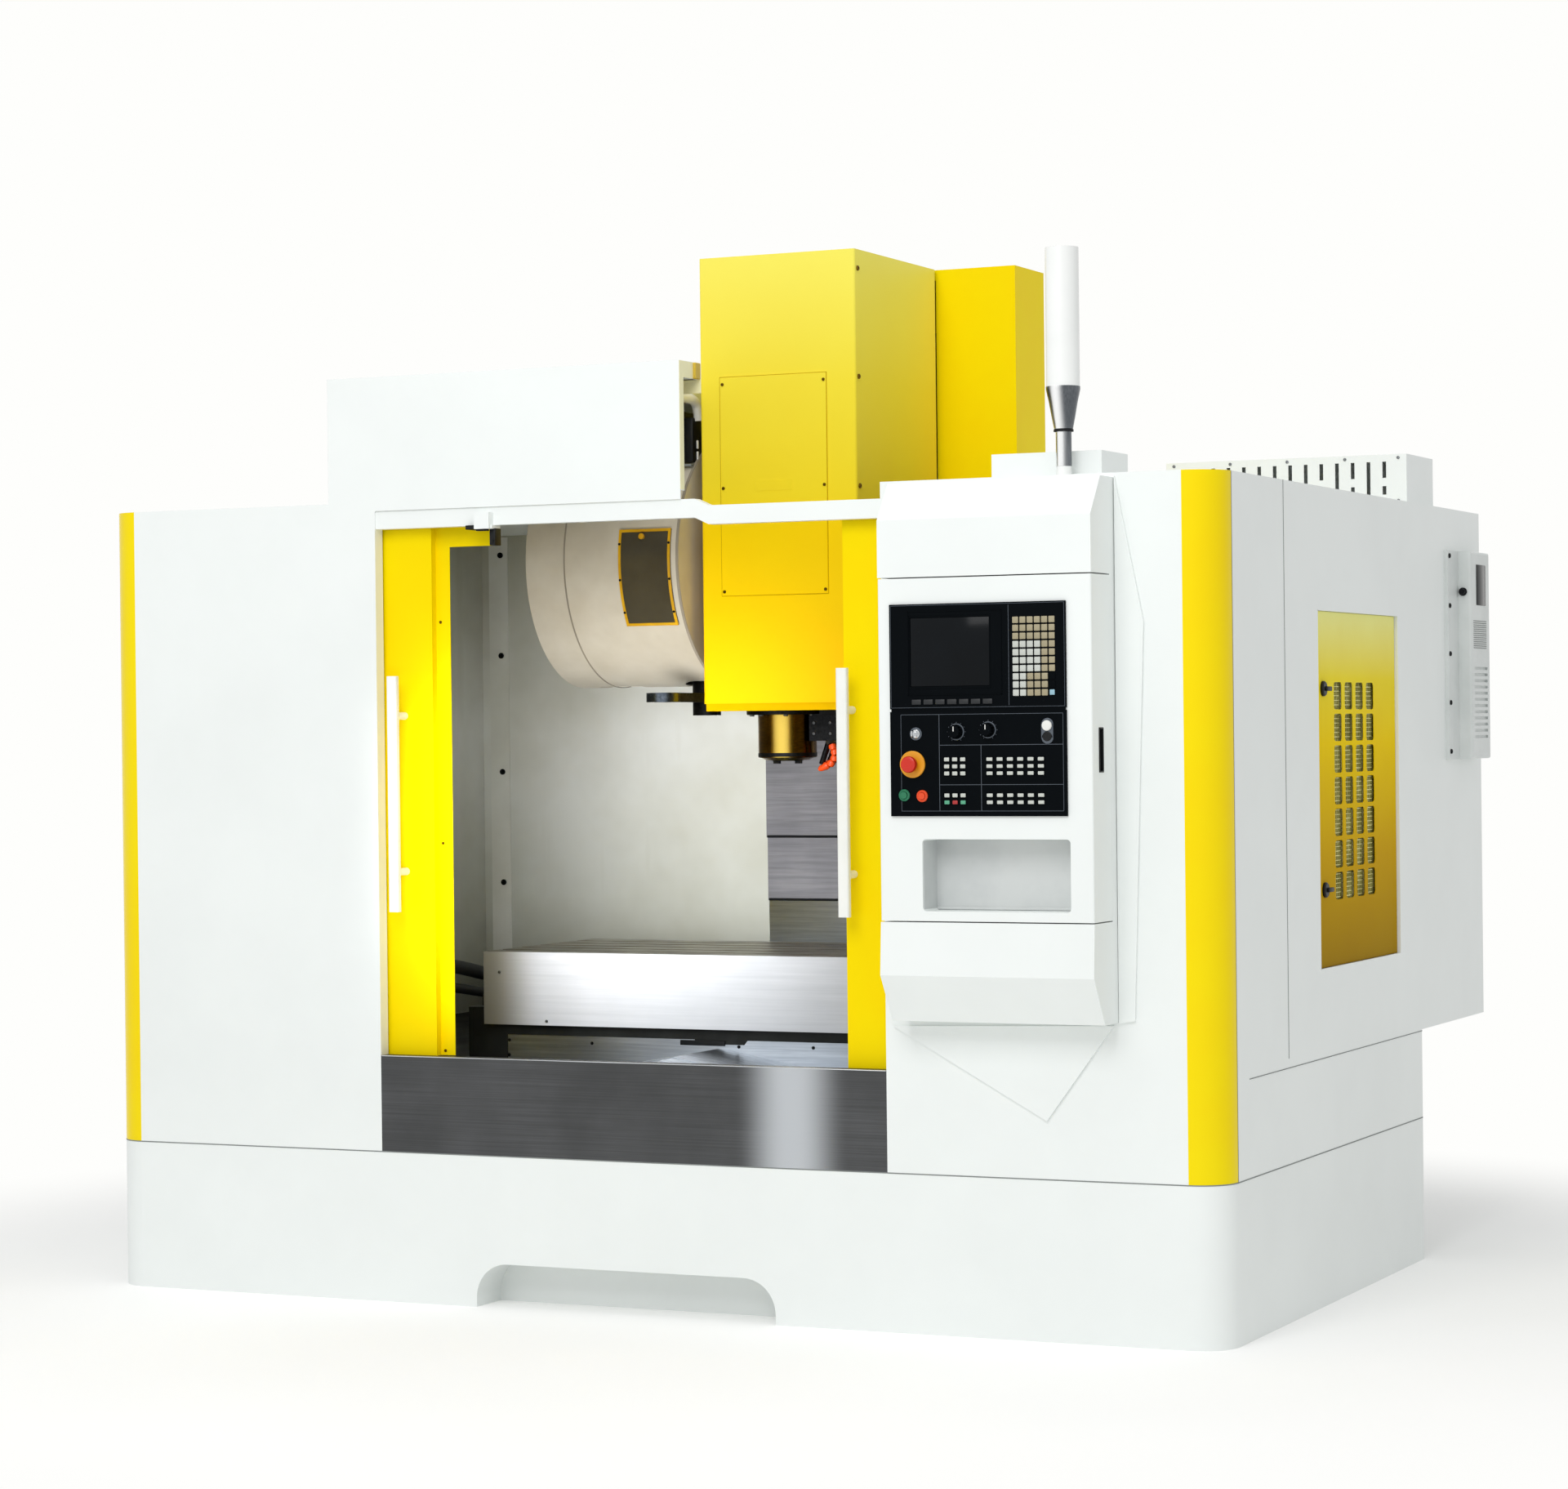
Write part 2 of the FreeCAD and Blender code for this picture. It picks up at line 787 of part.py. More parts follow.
table_whole = carved("table_whole", welded("table_raw", table_pieces), table_cuts)
land_room = block("land_room", ("2*table_half + 2*over", "table_depth + 2*over", "slot_depth + over"),
                  ("-table_half - over", "table_front - over", "table_high - slot_depth"))
body_room = block("body_room", ("2*table_half + 2*over", "table_depth + 2*over", "table_high - slot_depth - saddle_high"),
                  ("-table_half - over", "table_front - over", "saddle_high"))
node(together("table_solids", [carved("table_under_slots", table_whole, [land_room]),
                               carved("table_lands", table_whole, [body_room])]), "table")

# Table guards: folded stainless sheets that shield the saddle, before and behind the table.

guards = []
for label, sign, wall in (("front", "-", "table_front"), ("back", "", "table_front + table_depth")):
    guard = new_body(f"guard_{label}")
    far = f"{wall} {'-' if sign else '+'} guard_space"
    near = f"{far} {'+' if sign else '-'} sheet"
    loop = [(wall, "table_high"), (far, "table_high"), (far, "guard_low"), (near, "guard_low"),
            (near, "table_high - sheet"), (wall, "table_high - sheet")]
    pad(guard, "YZ", "-table_half", "2*table_half", [loop])
    guards.append(guard)
node(together("guards", guards), "table_guard")

# Way cover of the Y axis: gable roofs of stainless sheet that slide into each other.

COVER_STEP = "(cover_sheet + rest_gap)"


def gable(body, order, start, length):
    """One plate: the order counts plates inwards from the one that rides with the saddle."""
    inset = f"{order}*{COVER_STEP}"
    half = f"(cover_half - {inset})"
    inner = f"(cover_half - {inset} - cover_sheet)"
    ridge = f"cover_ridge - {inset}"
    eaves = f"{ridge} - cover_fall"
    pad(body, "XZ", start, length,
        [[(f"-{half}", f"{eaves} - cover_skirt"), (f"-{half}", eaves), ("0", ridge), (half, eaves),
          (half, f"{eaves} - cover_skirt"), (inner, f"{eaves} - cover_skirt"), (inner, f"{eaves} - cover_sheet"),
          ("0", f"{ridge} - cover_sheet"), (f"-{inner}", f"{eaves} - cover_sheet"),
          (f"-{inner}", f"{eaves} - cover_skirt")]])


rear_start = "saddle_front - cover_length"
front_start = f"{FRONT} + cover_front_space"
rear = new_body("y_cover_rear_body")
gable(rear, "0", rear_start, "cover_length")
pad(rear, "XZ", "saddle_front - cover_sheet", "cover_sheet",
    [[("-apron_half", "apron_low"), ("apron_half", "apron_low"), ("apron_half", "apron_high"),
      ("80", "apron_high"), ("70", "apron_high - 12"), ("-70", "apron_high - 12"), ("-80", "apron_high"),
      ("-apron_half", "apron_high")]])
node(rear, "y_cover_rear")

middle = new_body("y_cover_middle_body")
gable(middle, "1", f"({rear_start} + {front_start})/2", "cover_length")
node(middle, "y_cover_middle")

front_cover = new_body("y_cover_front")
gable(front_cover, "2", front_start, "cover_length")
pad(front_cover, "XZ", front_start, "cover_sheet",
    [[(f"-(cover_half - 2*{COVER_STEP})", "bed_deck"), (f"cover_half - 2*{COVER_STEP}", "bed_deck"),
      (f"cover_half - 2*{COVER_STEP}", f"cover_ridge - 2*{COVER_STEP} - cover_fall"),
      ("0", f"cover_ridge - 2*{COVER_STEP}"),
      (f"-(cover_half - 2*{COVER_STEP})", f"cover_ridge - 2*{COVER_STEP} - cover_fall")]])

# Way cover of the Z axis: channel plates before the column, in three steps.


def tower_plate(body, order, low, height):
    inset = f"{order}*{COVER_STEP}"
    half = f"(tower_half - {inset})"
    inner = f"(tower_half - {inset} - cover_sheet)"
    face = f"tower_front + {inset}"
    back = "column_front - 2"
    pad(body, "XY", low, height,
        [[(f"-{half}", back), (f"-{half}", face), (half, face), (half, back), (inner, back),
          (inner, f"{face} + cover_sheet"), (f"-{inner}", f"{face} + cover_sheet"), (f"-{inner}", back)]])


upper_tower = new_body("z_cover_upper_body")
tower_plate(upper_tower, "0", "tower_low + 2*tower_step", "tower_head_plate")
node(upper_tower, "z_cover_upper")
middle_tower = new_body("z_cover_middle_body")
tower_plate(middle_tower, "1", "tower_low + tower_step", "tower_plate")
node(middle_tower, "z_cover_middle")
lower_tower = new_body("z_cover_lower")
tower_plate(lower_tower, "2", "pedestal_height", "tower_low + tower_plate - pedestal_height")
node(together("fixed_covers", [front_cover, lower_tower]), "fixed_way_covers")

# Axis drives: motor, bearing blocks and screw of the Y axis on the bed, and of the Z axis on the column.

Y_MOTOR = f"{FRONT} + cover_front_space + over"
y_drive = welded("y_drive", [
    block("y_motor", ("2*motor_half", "motor_length", "screw_height + motor_half - bed_deck"),
          ("-motor_half", Y_MOTOR, "bed_deck")),
    block("y_bearing", ("2*bearing_half", "bearing_length", "screw_height + bearing_half - bed_deck"),
          ("-bearing_half", f"{Y_MOTOR} + motor_length", "bed_deck")),
    rod("y_screw", "screw_radius", f"saddle_rail_back - ({Y_MOTOR}) - motor_length",
        ("0", f"{Y_MOTOR} + motor_length", "screw_height"), "y"),
    block("y_tail", ("2*bearing_half", "bearing_length", "screw_height + bearing_half - bed_deck"),
          ("-bearing_half", "saddle_rail_back - bearing_length/2", "bed_deck"))])
z_drive = welded("z_drive", [
    block("z_cap", ("2*motor_half + 40", "column_front - drive_line + 120", "column_cap"),
          ("-motor_half - 20", "drive_line - 50", "column_height")),
    block("z_motor", ("2*motor_half", "2*motor_half", "z_motor_height"),
          ("-motor_half", "drive_line - 50", "column_height + column_cap")),
    rod("z_screw", "screw_radius", "column_height - head_rail_low + 20", ("0", "drive_line", "head_rail_low - 20")),
    block("z_tail", ("2*bearing_half", "column_front - drive_line + 30", "bearing_length"),
          ("-bearing_half", "drive_line - 30", "head_rail_low - bearing_length - 20"))])
node(together("drives", [y_drive, z_drive]), "axis_drives")

# Head: casting that carries the spindle, on four carriages.


head_pieces = [
    block("head_box", ("2*head_half", "slide_front - head_front + slide_thick", "head_high - head_low"),
          ("-head_half", "head_front", "head_low")),
    block("head_slide", ("2*slide_half", "slide_thick", "slide_high - head_low"),
          ("-slide_half", "slide_front", "head_low"))]
head_cuts = [
    rod("head_spindle_room", "spindle_bore", "head_high - head_low + 2*over", ("0", "0", "head_low - over")),
    block("head_screw_room", ("2*screw_room", "2*screw_room", "slide_high - head_low + 2*over"),
          ("-screw_room", "drive_line - screw_room", "head_low - over"))]
for side in ("-", ""):
    for end in ("head_low", "slide_high - carriage_length - 40"):
        head_pieces.append(block("head_carriage", ("2*carriage_half", "column_front - slide_front - slide_thick - 5",
                                                   "carriage_length + 40"),
                                 (f"{side}head_rail_spread - carriage_half", "slide_front + slide_thick", end)))
    head_cuts.append(block("head_rail_room", ("2*rail_half + 2*rest_gap", "head_rail_thick + rest_gap", "slide_high - head_low + 2*over"),
                           (f"{side}head_rail_spread - rail_half - rest_gap", "column_front - head_rail_thick - rest_gap",
                            "head_low - over")))
head_pieces.append(block("head_left_lug", ("head_cover_left - sheet - head_half + 1", "60", "60"),
                         ("-head_cover_left + sheet", "0", "head_low + 100")))
head_pieces.append(block("head_right_lug", ("head_cover_right - sheet - head_half + 1", "60", "60"),
                         ("head_half - 1", "0", "head_low + 100")))
head_raw = carved("head_raw", welded("head_blocks", head_pieces), head_cuts)
head_nut = carved("head_nut", block("head_nut_block", ("2*screw_room", "2*screw_room", "nut_length"),
                                    ("-screw_room", "drive_line - screw_room", "(head_low + head_high)/2")),
                  [rod("head_nut_bore", "screw_radius + rest_gap", "nut_length + 2*over",
                       ("0", "drive_line", "(head_low + head_high)/2 - over"))])
node(welded("head_body", [head_raw, head_nut]), "head_casting")

# Head cover: folded sheet box round the head, open towards the column.
COVER_EXTENT = ("head_cover_left + head_cover_right", "head_cover_front + head_cover_back",
                f"{HEAD_TOP} - head_cover_low")
cover_outer = rounded("head_cover_outer", block("head_cover_block", COVER_EXTENT,
                                                ("-head_cover_left", "-head_cover_front", "head_cover_low")),
                      sizes["head_cover_round"],
                      lambda first, last: upright(first, last) and first.y < 0)
cover_inner = block("head_cover_inner", ("head_cover_left + head_cover_right - 2*sheet", "head_cover_front + head_cover_back",
                                         f"{HEAD_TOP} - head_cover_low - 2*sheet"),
                    ("-head_cover_left + sheet", "-head_cover_front + sheet", "head_cover_low + sheet"))
cover_hole = rod("head_cover_hole", "flange_radius + 2", "4*over", ("0", "0", "head_cover_low - 2*over"))
node(carved("head_cover_body", cover_outer, [cover_inner, cover_hole]), "head_cover")

# Spindle cartridge: flanged steel sleeve that hangs below the head casting.

sleeve = welded("sleeve_raw", [
    rod("sleeve", "sleeve_radius", "head_low - sleeve_low", ("0", "0", "sleeve_low")),
    rod("sleeve_flange", "flange_radius", "head_cover_low + 14 - flange_low", ("0", "0", "flange_low")),
    cone("sleeve_collar", "collar_radius", "sleeve_radius - 6", "sleeve_low - nose_face - 2", ("0", "0", "nose_face + 2"))])
node(carved("spindle_sleeve", sleeve,
            [rod("sleeve_bore", "shaft_radius + rest_gap", "shaft_top - nose_face + 2*rest_gap",
                 ("0", "0", "nose_face - rest_gap"))]), "spindle_housing")

# Spindle: turned shaft with a steep taper socket and two drive keys on its nose.

spindle = carved("spindle_shaft", rod("shaft", "shaft_radius", "shaft_top - nose_face", ("0", "0", "nose_face")), [
    cone("taper", "taper_mouth", "taper_end", "taper_length", ("0", "0", "nose_face")),
    rod("drawbar_room", "drawbar_radius", "shaft_top - nose_face - 2*over", ("0", "0", "nose_face + over"))])
drive_keys = [block("drive_key", ("shaft_radius - taper_mouth - 6", "key_width", "key_height + 1"),
                    (start, "-key_width/2", "nose_face - key_height"))
              for start in ("taper_mouth + 3", "-(shaft_radius - 3)")]
node(welded("spindle_body", [spindle] + drive_keys), "spindle")

# Spindle motor: square ribbed housing that stands on the head casting.

motor_shell = rounded("motor_rounded",
                      block("motor_block", ("2*spindle_motor_half", "2*spindle_motor_half", "spindle_motor_height"),
                            ("-spindle_motor_half", "spindle_motor_back - spindle_motor_half", "head_high")),
                      22, upright)
motor_cap = rod("motor_cap", "spindle_motor_half - 20", "spindle_motor_cap", ("0", "spindle_motor_back", "head_high + spindle_motor_height"))
node(welded("spindle_motor_body", [motor_shell, motor_cap]), "spindle_motor")

# Coolant nozzle block, hung under the head cover beside the spindle, with two angled nozzles.

nozzles = [
    block("nozzle_block", ("nozzle_block_width", "nozzle_block_depth", "flange_low - rest_gap - nozzle_block_low"),
          ("nozzle_block_left", "-nozzle_block_depth/2", "nozzle_block_low")),
    block("nozzle_stem", ("nozzle_block_left + nozzle_block_width - flange_radius - 3", "nozzle_block_depth",
                          "head_cover_low - nozzle_block_low"),
          ("flange_radius + 3", "-nozzle_block_depth/2", "nozzle_block_low"))]
for across in ("-0.3*nozzle_block_depth", "0.3*nozzle_block_depth"):
    nozzle = doc.addObject("Part::Cylinder", "nozzle")
    nozzle.setExpression("Radius", link("nozzle_radius"))
    nozzle.setExpression("Height", link("nozzle_length"))
    nozzle.Placement = FreeCAD.Placement(FreeCAD.Vector(), FreeCAD.Rotation(FreeCAD.Vector(0, 1, 0), 200))
    place(nozzle, ("nozzle_block_left + 0.7*nozzle_block_width", across, "nozzle_block_low + 6"))
    nozzles.append(nozzle)
node(welded("nozzle_body", nozzles), "coolant_nozzles")

# Column cover: sheet hood over the column's top, wider on its right side, open in front where the head passes.


def cover_plan(wall):
    """Outline of the column cover from above, moved inwards by the wall."""
    wing = f"column_cover_wing - {wall}"
    neck = f"column_cover_neck - {wall}"
    front = f"column_cover_front + {wall}"
    step = f"column_cover_step - {wall}"
    back = f"column_cover_back - {wall}"
    return [(f"-({neck})", front), (wing, front), (wing, step), (neck, step), (neck, back), (f"-({neck})", back)]


column_cover = new_body("column_cover_body")
pad(column_cover, "XY", "cabin_height", f"{COVER_TOP} - cabin_height", [cover_plan("0")])
pocket(column_cover, "XY", "cabin_height - over", f"{COVER_TOP} - cabin_height - sheet + over",
       [cover_plan("sheet")])
pocket(column_cover, "XZ", "column_cover_front - over", "2*over",
       [box_loop("-slide_half - 15", "head_cover_right - 3", "cabin_height - over", f"{COVER_TOP} - 30")])
pocket(column_cover, "XZ", "column_cover_front - over", "hood_back + hood_clearance - column_cover_front + over",
       [box_loop("-column_cover_neck - over", "-slide_half", "cabin_height - over", "hood_high + hood_clearance")])
node(column_cover, "column_cover")

# Base tray: folded steel tray round the foot of the machine, open below, with a foot notch in front.


def front_corners(first, last):
    return upright(first, last) and first.y < -500


def top_corners(first, last):
    return lengthwise(first, last) and first.z > 50


def around(name, inset, low, high):
    """A block that follows the base's outline, moved inwards, with its front corners rounded."""
    body = block(name, (f"machine_width - 2*({inset})", f"base_depth - 2*({inset})", f"({high}) - ({low})"),
                 (f"{LEFT} + {inset}", f"{FRONT} + {inset}", low))
    return body


tray_outer = rounded("tray_outer", around("tray_block", "0", "0", "base_height"), sizes["corner_radius"], front_corners)
tray_inner = rounded("tray_inner", around("tray_room", "tray_wall", "tray_wall", "base_height - tray_wall"),
                     sizes["corner_radius"] - sizes["tray_wall"], front_corners)
tray_open = around("tray_open", "tray_flange", "-over", "base_height + over")
tray_back = block("tray_bed_room", ("2*bed_half + 2*bed_clearance", "tray_flange + 2*over", "base_height + 2*over"),
                  ("-bed_half - bed_clearance", f"{BASE_BACK} - tray_flange - over", "-over"))
notch_box = block("notch_box", ("notch_right - notch_left + 2*sheet", "notch_depth", "notch_height + sheet"),
                  ("notch_left - sheet", FRONT, "0"))
notch_room = rounded("notch_room",
                     block("notch_block", ("notch_right - notch_left", "notch_depth - sheet + over", "notch_height + over"),
                           ("notch_left", f"{FRONT} - over", "-over")),
                     sizes["notch_round"], top_corners)
tray_shell = carved("tray_shell", tray_outer, [tray_inner, tray_open, tray_back])
node(carved("tray", welded("tray_with_notch", [tray_shell, notch_box]), [notch_room]), "base_tray")

# Front panels: folded sheets left and right of the doorway. The right one carries shallow facets.


def folded_panel(body, outer, inner, low, height):
    """A channel section seen from above: deep fold at the doorway, short fold at the corner."""
    sign = "+" if outer.startswith("-") or outer.startswith("(-") else "-"
    other = "-" if sign == "+" else "+"
    pad(body, "XY", low, height,
        [[(outer, FRONT), (inner, FRONT), (inner, f"{FRONT} + front_fold"),
          (f"{inner} {other} sheet", f"{FRONT} + front_fold"), (f"{inner} {other} sheet", f"{FRONT} + sheet"),
          (f"{outer} {sign} sheet", f"{FRONT} + sheet"), (f"{outer} {sign} sheet", f"{FRONT} + end_fold"),
          (outer, f"{FRONT} + end_fold")]])


left_panel = new_body("front_panel_left_body")
folded_panel(left_panel, "-(machine_width/2 - corner_radius)", "doorway_left", "base_height", "cabin_height - base_height")
node(left_panel, "front_panel_left")
right_panel = new_body("front_panel_right_body")
folded_panel(right_panel, "(machine_width/2 - corner_radius)", "doorway_right", "base_height",
             "cabin_height - base_height")
pad(right_panel, "XZ", f"{FRONT} - facet_height", "facet_height",
    [[("1336", "783"), ("1377", "790"), ("1409", "1756"), ("1338", "2107")]])
pad(right_panel, "XZ", f"{FRONT} - facet_height", "facet_height", [[("741", "764"), ("1146", "541"), ("1322", "777")]])
node(right_panel, "front_panel_right")

# Corner columns: quarter-round sheets at the two front corners.
trims = []
for label, across, turn in (("left", f"{LEFT} + corner_radius", 180), ("right", f"{RIGHT} - corner_radius", 270)):
    shells = []
    for part, radius in (("outer", "corner_radius"), ("inner", "corner_radius - sheet")):
        low = "base_height" if part == "outer" else "base_height - over"
        tall = "cabin_height - base_height" if part == "outer" else "cabin_height - base_height + 2*over"
        shell = rod(f"trim_{label}_{part}", radius, tall, (across, f"{FRONT} + corner_radius", low), "z", 90)
        shell.Placement.Rotation = FreeCAD.Rotation(FreeCAD.Vector(0, 0, 1), turn)
        shells.append(shell)
    trims.append(carved(f"trim_{label}", shells[0], [shells[1]]))
node(together("trims", trims), "corner_trims")

# Front sill: brushed dark sheet under the doorway.

sill = new_body("front_sill_body")
pad(sill, "YZ", "doorway_left", "doorway_right - doorway_left",
    [[(FRONT, "base_height"), (f"{FRONT} + front_fold", "base_height"), (f"{FRONT} + front_fold", "base_height + sheet"),
      (f"{FRONT} + sheet", "base_height + sheet"), (f"{FRONT} + sheet", "sill_high - sheet"),
      (f"{FRONT} + front_fold", "sill_high - sheet"), (f"{FRONT} + front_fold", "sill_high"), (FRONT, "sill_high")]])
node(sill, "front_sill")

# Cross beam over the doorway: a shallow folded beam with a step where it passes under the hood.


def beam_loop(wall):
    return [(f"doorway_left + {wall}", f"beam_left_low + {wall}"), (f"beam_bend - {wall}/3", f"beam_left_low + {wall}"),
            (f"beam_bend + beam_slope - {wall}/3", f"beam_right_low + {wall}"),
            (f"doorway_right - {wall}", f"beam_right_low + {wall}"), (f"doorway_right - {wall}", f"beam_right_high - {wall}"),
            (f"beam_bend + beam_slope + {wall}/3", f"beam_right_high - {wall}"),
            (f"beam_bend + {wall}/3", f"beam_left_high - {wall}"), (f"doorway_left + {wall}", f"beam_left_high - {wall}")]


beam = new_body("crossbeam_body")
pad(beam, "XZ", f"{FRONT} + beam_front_space", "beam_depth", [beam_loop("0")])
pocket(beam, "XZ", f"{FRONT} + beam_front_space + sheet", "beam_depth", [beam_loop("sheet")])
pad(beam, "XZ", f"{FRONT} - switch_reach", "switch_reach + beam_front_space + 1",
    [box_loop("switch_left", "switch_left + switch_width", "beam_left_low - 10", "beam_left_low + 33")])
pad(beam, "XZ", f"{FRONT} - switch_reach/2", "switch_reach/2 + beam_front_space + beam_depth - 3",
    [box_loop("switch_left - 30", "switch_left + switch_width + 4", "beam_left_low - 9", "beam_left_low")])
pad(beam, "XZ", f"{FRONT} + beam_front_space", "beam_depth - 6",
    [box_loop("switch_left + switch_width - 10", "switch_left + switch_width + 4", "beam_left_low - 52", "beam_left_low - 8")])
node(beam, "crossbeam")

# Side panel on the left, folded round the rear corner.

left_side = new_body("side_panel_left_body")
pad(left_side, "XY", "base_height", "cabin_height - base_height",
    [[(LEFT, f"{FRONT} + corner_radius"), (f"{LEFT} + sheet", f"{FRONT} + corner_radius"),
      (f"{LEFT} + sheet", f"{BASE_BACK} - sheet"), ("-bed_opening", f"{BASE_BACK} - sheet"),
      ("-bed_opening", BASE_BACK), (LEFT, BASE_BACK)]])
node(left_side, "side_panel_left")

# Side panel on the right: outline with an overhang, framed doorway of the service door, floor and rear.

right_side = new_body("side_panel_right_body")
pad(right_side, "YZ", f"{RIGHT} - sheet", "sheet",
    [[(f"{FRONT} + corner_radius", "base_height"), (BASE_BACK, "base_height"), (BASE_BACK, "overhang_height"),
      (CABIN_BACK, "overhang_height"), (CABIN_BACK, "cabin_height"), (f"{FRONT} + corner_radius", "cabin_height")]])
pad(right_side, "YZ", f"{RIGHT} - service_frame", "service_frame",
    [box_loop("service_front - sheet", "service_back + sheet", "service_low - sheet", "service_high + sheet")])
pocket(right_side, "YZ", f"{RIGHT} - service_frame - over", "service_frame + 2*over",
       [box_loop("service_front", "service_back", "service_low", "service_high")])
pad(right_side, "YZ", f"{RIGHT} - service_frame", "service_frame - leaf_setback - leaf_thick - rest_gap",
    [box_loop("service_front - sheet", "service_back + sheet", "service_low - sheet", "service_high + sheet"),
     box_loop("service_front + service_stop", "service_back - service_stop", "service_low + service_stop",
              "service_high - service_stop")])
pad(right_side, "XY", "overhang_height", "sheet",
    [box_loop("bed_opening + 55", f"{RIGHT} - sheet + 1", BASE_BACK, f"{CABIN_BACK} - sheet + 1")])
pad(right_side, "XZ", f"{CABIN_BACK} - sheet", "sheet",
    [box_loop("bed_opening + 55", RIGHT, "overhang_height", "cabin_height")])
pad(right_side, "XZ", f"{BASE_BACK} - sheet", "sheet",
    [box_loop("bed_opening", RIGHT, "base_height", "overhang_height + sheet")])
node(right_side, "side_panel_right")

# Service door: slotted sheet leaf set back in its frame, with two turn latches.

LEAF_FACE = f"{RIGHT} - leaf_setback"
leaf_plain = block("leaf_block", ("leaf_thick", "service_back - service_front - 2*leaf_gap",
                                  "service_high - service_low - 2*leaf_gap"),
                   (f"{LEAF_FACE} - leaf_thick", "service_front + leaf_gap", "service_low + leaf_gap"))
doc.recompute()
leaf_reach = leaf_plain.Shape.BoundBox
leaf_block = rounded("leaf_edge", leaf_plain, sizes["leaf_edge_round"],
                     lambda first, last: upright(first, last) and first.x > leaf_reach.XMax - 1 and first.y > leaf_reach.YMax - 1)
leaf = carved("leaf_tray", leaf_block,
              [block("leaf_room", ("leaf_thick", "service_back - service_front - 2*leaf_gap - 2*sheet",
                                   "service_high - service_low - 2*leaf_gap - 2*sheet"),
                     (f"{LEAF_FACE} - leaf_thick - sheet", "service_front + leaf_gap + sheet",
                      "service_low + leaf_gap + sheet"))])
slot_blocks = []
for column_number in range(sizes["leaf_columns"]):
    for row_number in range(sizes["leaf_rows"]):
        centre = f"leaf_slot_front + {column_number}*leaf_column_pitch"
        middle = f"leaf_slot_low + {row_number}*leaf_row_pitch"
        slot_blocks.append(block("leaf_slot", ("6*sheet", "leaf_slot_width", "leaf_slot_height"),
                                 (f"{LEAF_FACE} - 4*sheet", f"{centre} - leaf_slot_width/2", f"{middle} - leaf_slot_height/2")))
slots = [rounded("leaf_slot_rounded", slot_block, 12, crosswise) for slot_block in slot_blocks]
leaf_cut = carved("leaf_cut", leaf, slots)
latches = [rod("latch", "latch_radius", "leaf_setback + 14", (f"{LEAF_FACE} - 1", "latch_place", height), "x")
           for height in ("latch_low", "latch_high")]
node(welded("leaf", [leaf_cut] + latches), "vent_door")

# Roof: flat sheets left and right of the head, with a small cable box on the right one.

roof_left = new_body("roof_left")
pad(roof_left, "XY", "cabin_height - sheet", "sheet",
    [[(f"{LEFT} + sheet", f"{FRONT} + corner_radius"), (f"{LEFT} + corner_radius", f"{FRONT} + corner_radius"),
      (f"{LEFT} + corner_radius", f"{FRONT} + sheet"), ("hood_left + hood_lap", f"{FRONT} + sheet"),
      ("hood_left + hood_lap", "hood_back - hood_lap"), ("-column_half - column_clearance", "hood_back - hood_lap"),
      ("-column_half - column_clearance", f"{BASE_BACK} - sheet"), (f"{LEFT} + sheet", f"{BASE_BACK} - sheet")]])
roof_right = new_body("roof_right")
pad(roof_right, "XY", "cabin_height - sheet", "sheet",
    [[("doorway_right + sheet", f"{FRONT} + sheet"), (f"{RIGHT} - corner_radius", f"{FRONT} + sheet"),
      (f"{RIGHT} - corner_radius", f"{FRONT} + corner_radius"), (f"{RIGHT} - sheet", f"{FRONT} + corner_radius"),
      (f"{RIGHT} - sheet", f"{CABIN_BACK} - sheet"), ("column_half + column_clearance", f"{CABIN_BACK} - sheet"),
      ("column_half + column_clearance", "column_cover_step + over"),
      ("column_cover_wing - 2*over", "column_cover_step + over"), ("column_cover_wing - 2*over", "column_cover_front + over"),
      ("doorway_right + sheet", "column_cover_front + over")]])
pad(roof_right, "XY", "cabin_height", "roof_box_height",
    [box_loop("roof_box_left", "roof_box_left + roof_box_width", "roof_box_front", "roof_box_front + roof_box_depth")])
for roof, fold in ((roof_left, f"{LEFT} + corner_radius"), (roof_right, f"{RIGHT} - corner_radius - sheet")):
    pocket(roof, "XY", "cabin_height - sheet - over", "2*over",
           [box_loop(fold, f"{fold} + sheet", f"{FRONT} - over", f"{FRONT} + end_fold")])
roof_corners = []
for label, across, turn in (("left", f"{LEFT} + corner_radius", 180), ("right", f"{RIGHT} - corner_radius", 270)):
    corner = rod(f"roof_corner_{label}", "corner_radius - sheet", "sheet",
                 (across, f"{FRONT} + corner_radius", "cabin_height - sheet"), "z", 90)
    corner.Placement.Rotation = FreeCAD.Rotation(FreeCAD.Vector(0, 0, 1), turn)
    roof_corners.append(corner)
node(together("roofs", [welded("roof_left_whole", [roof_left, roof_corners[0]]),
                        welded("roof_right_whole", [roof_right, roof_corners[1]])]), "roof_panels")

# Magazine hood: sheet box over the tool drum, open below, and open on its right side behind a front flange.


def hood_plan(wall):
    right = f"hood_front_right - {wall}"
    back = f"{FRONT} + hood_front_depth - {wall}"
    return [(f"hood_left + {wall}", f"{FRONT} + {wall}"), (right, f"{FRONT} + {wall}"), (right, back),
            (f"hood_right - {wall}", back), (f"hood_right - {wall}", f"hood_back - {wall}"),
            (f"hood_left + {wall}", f"hood_back - {wall}")]


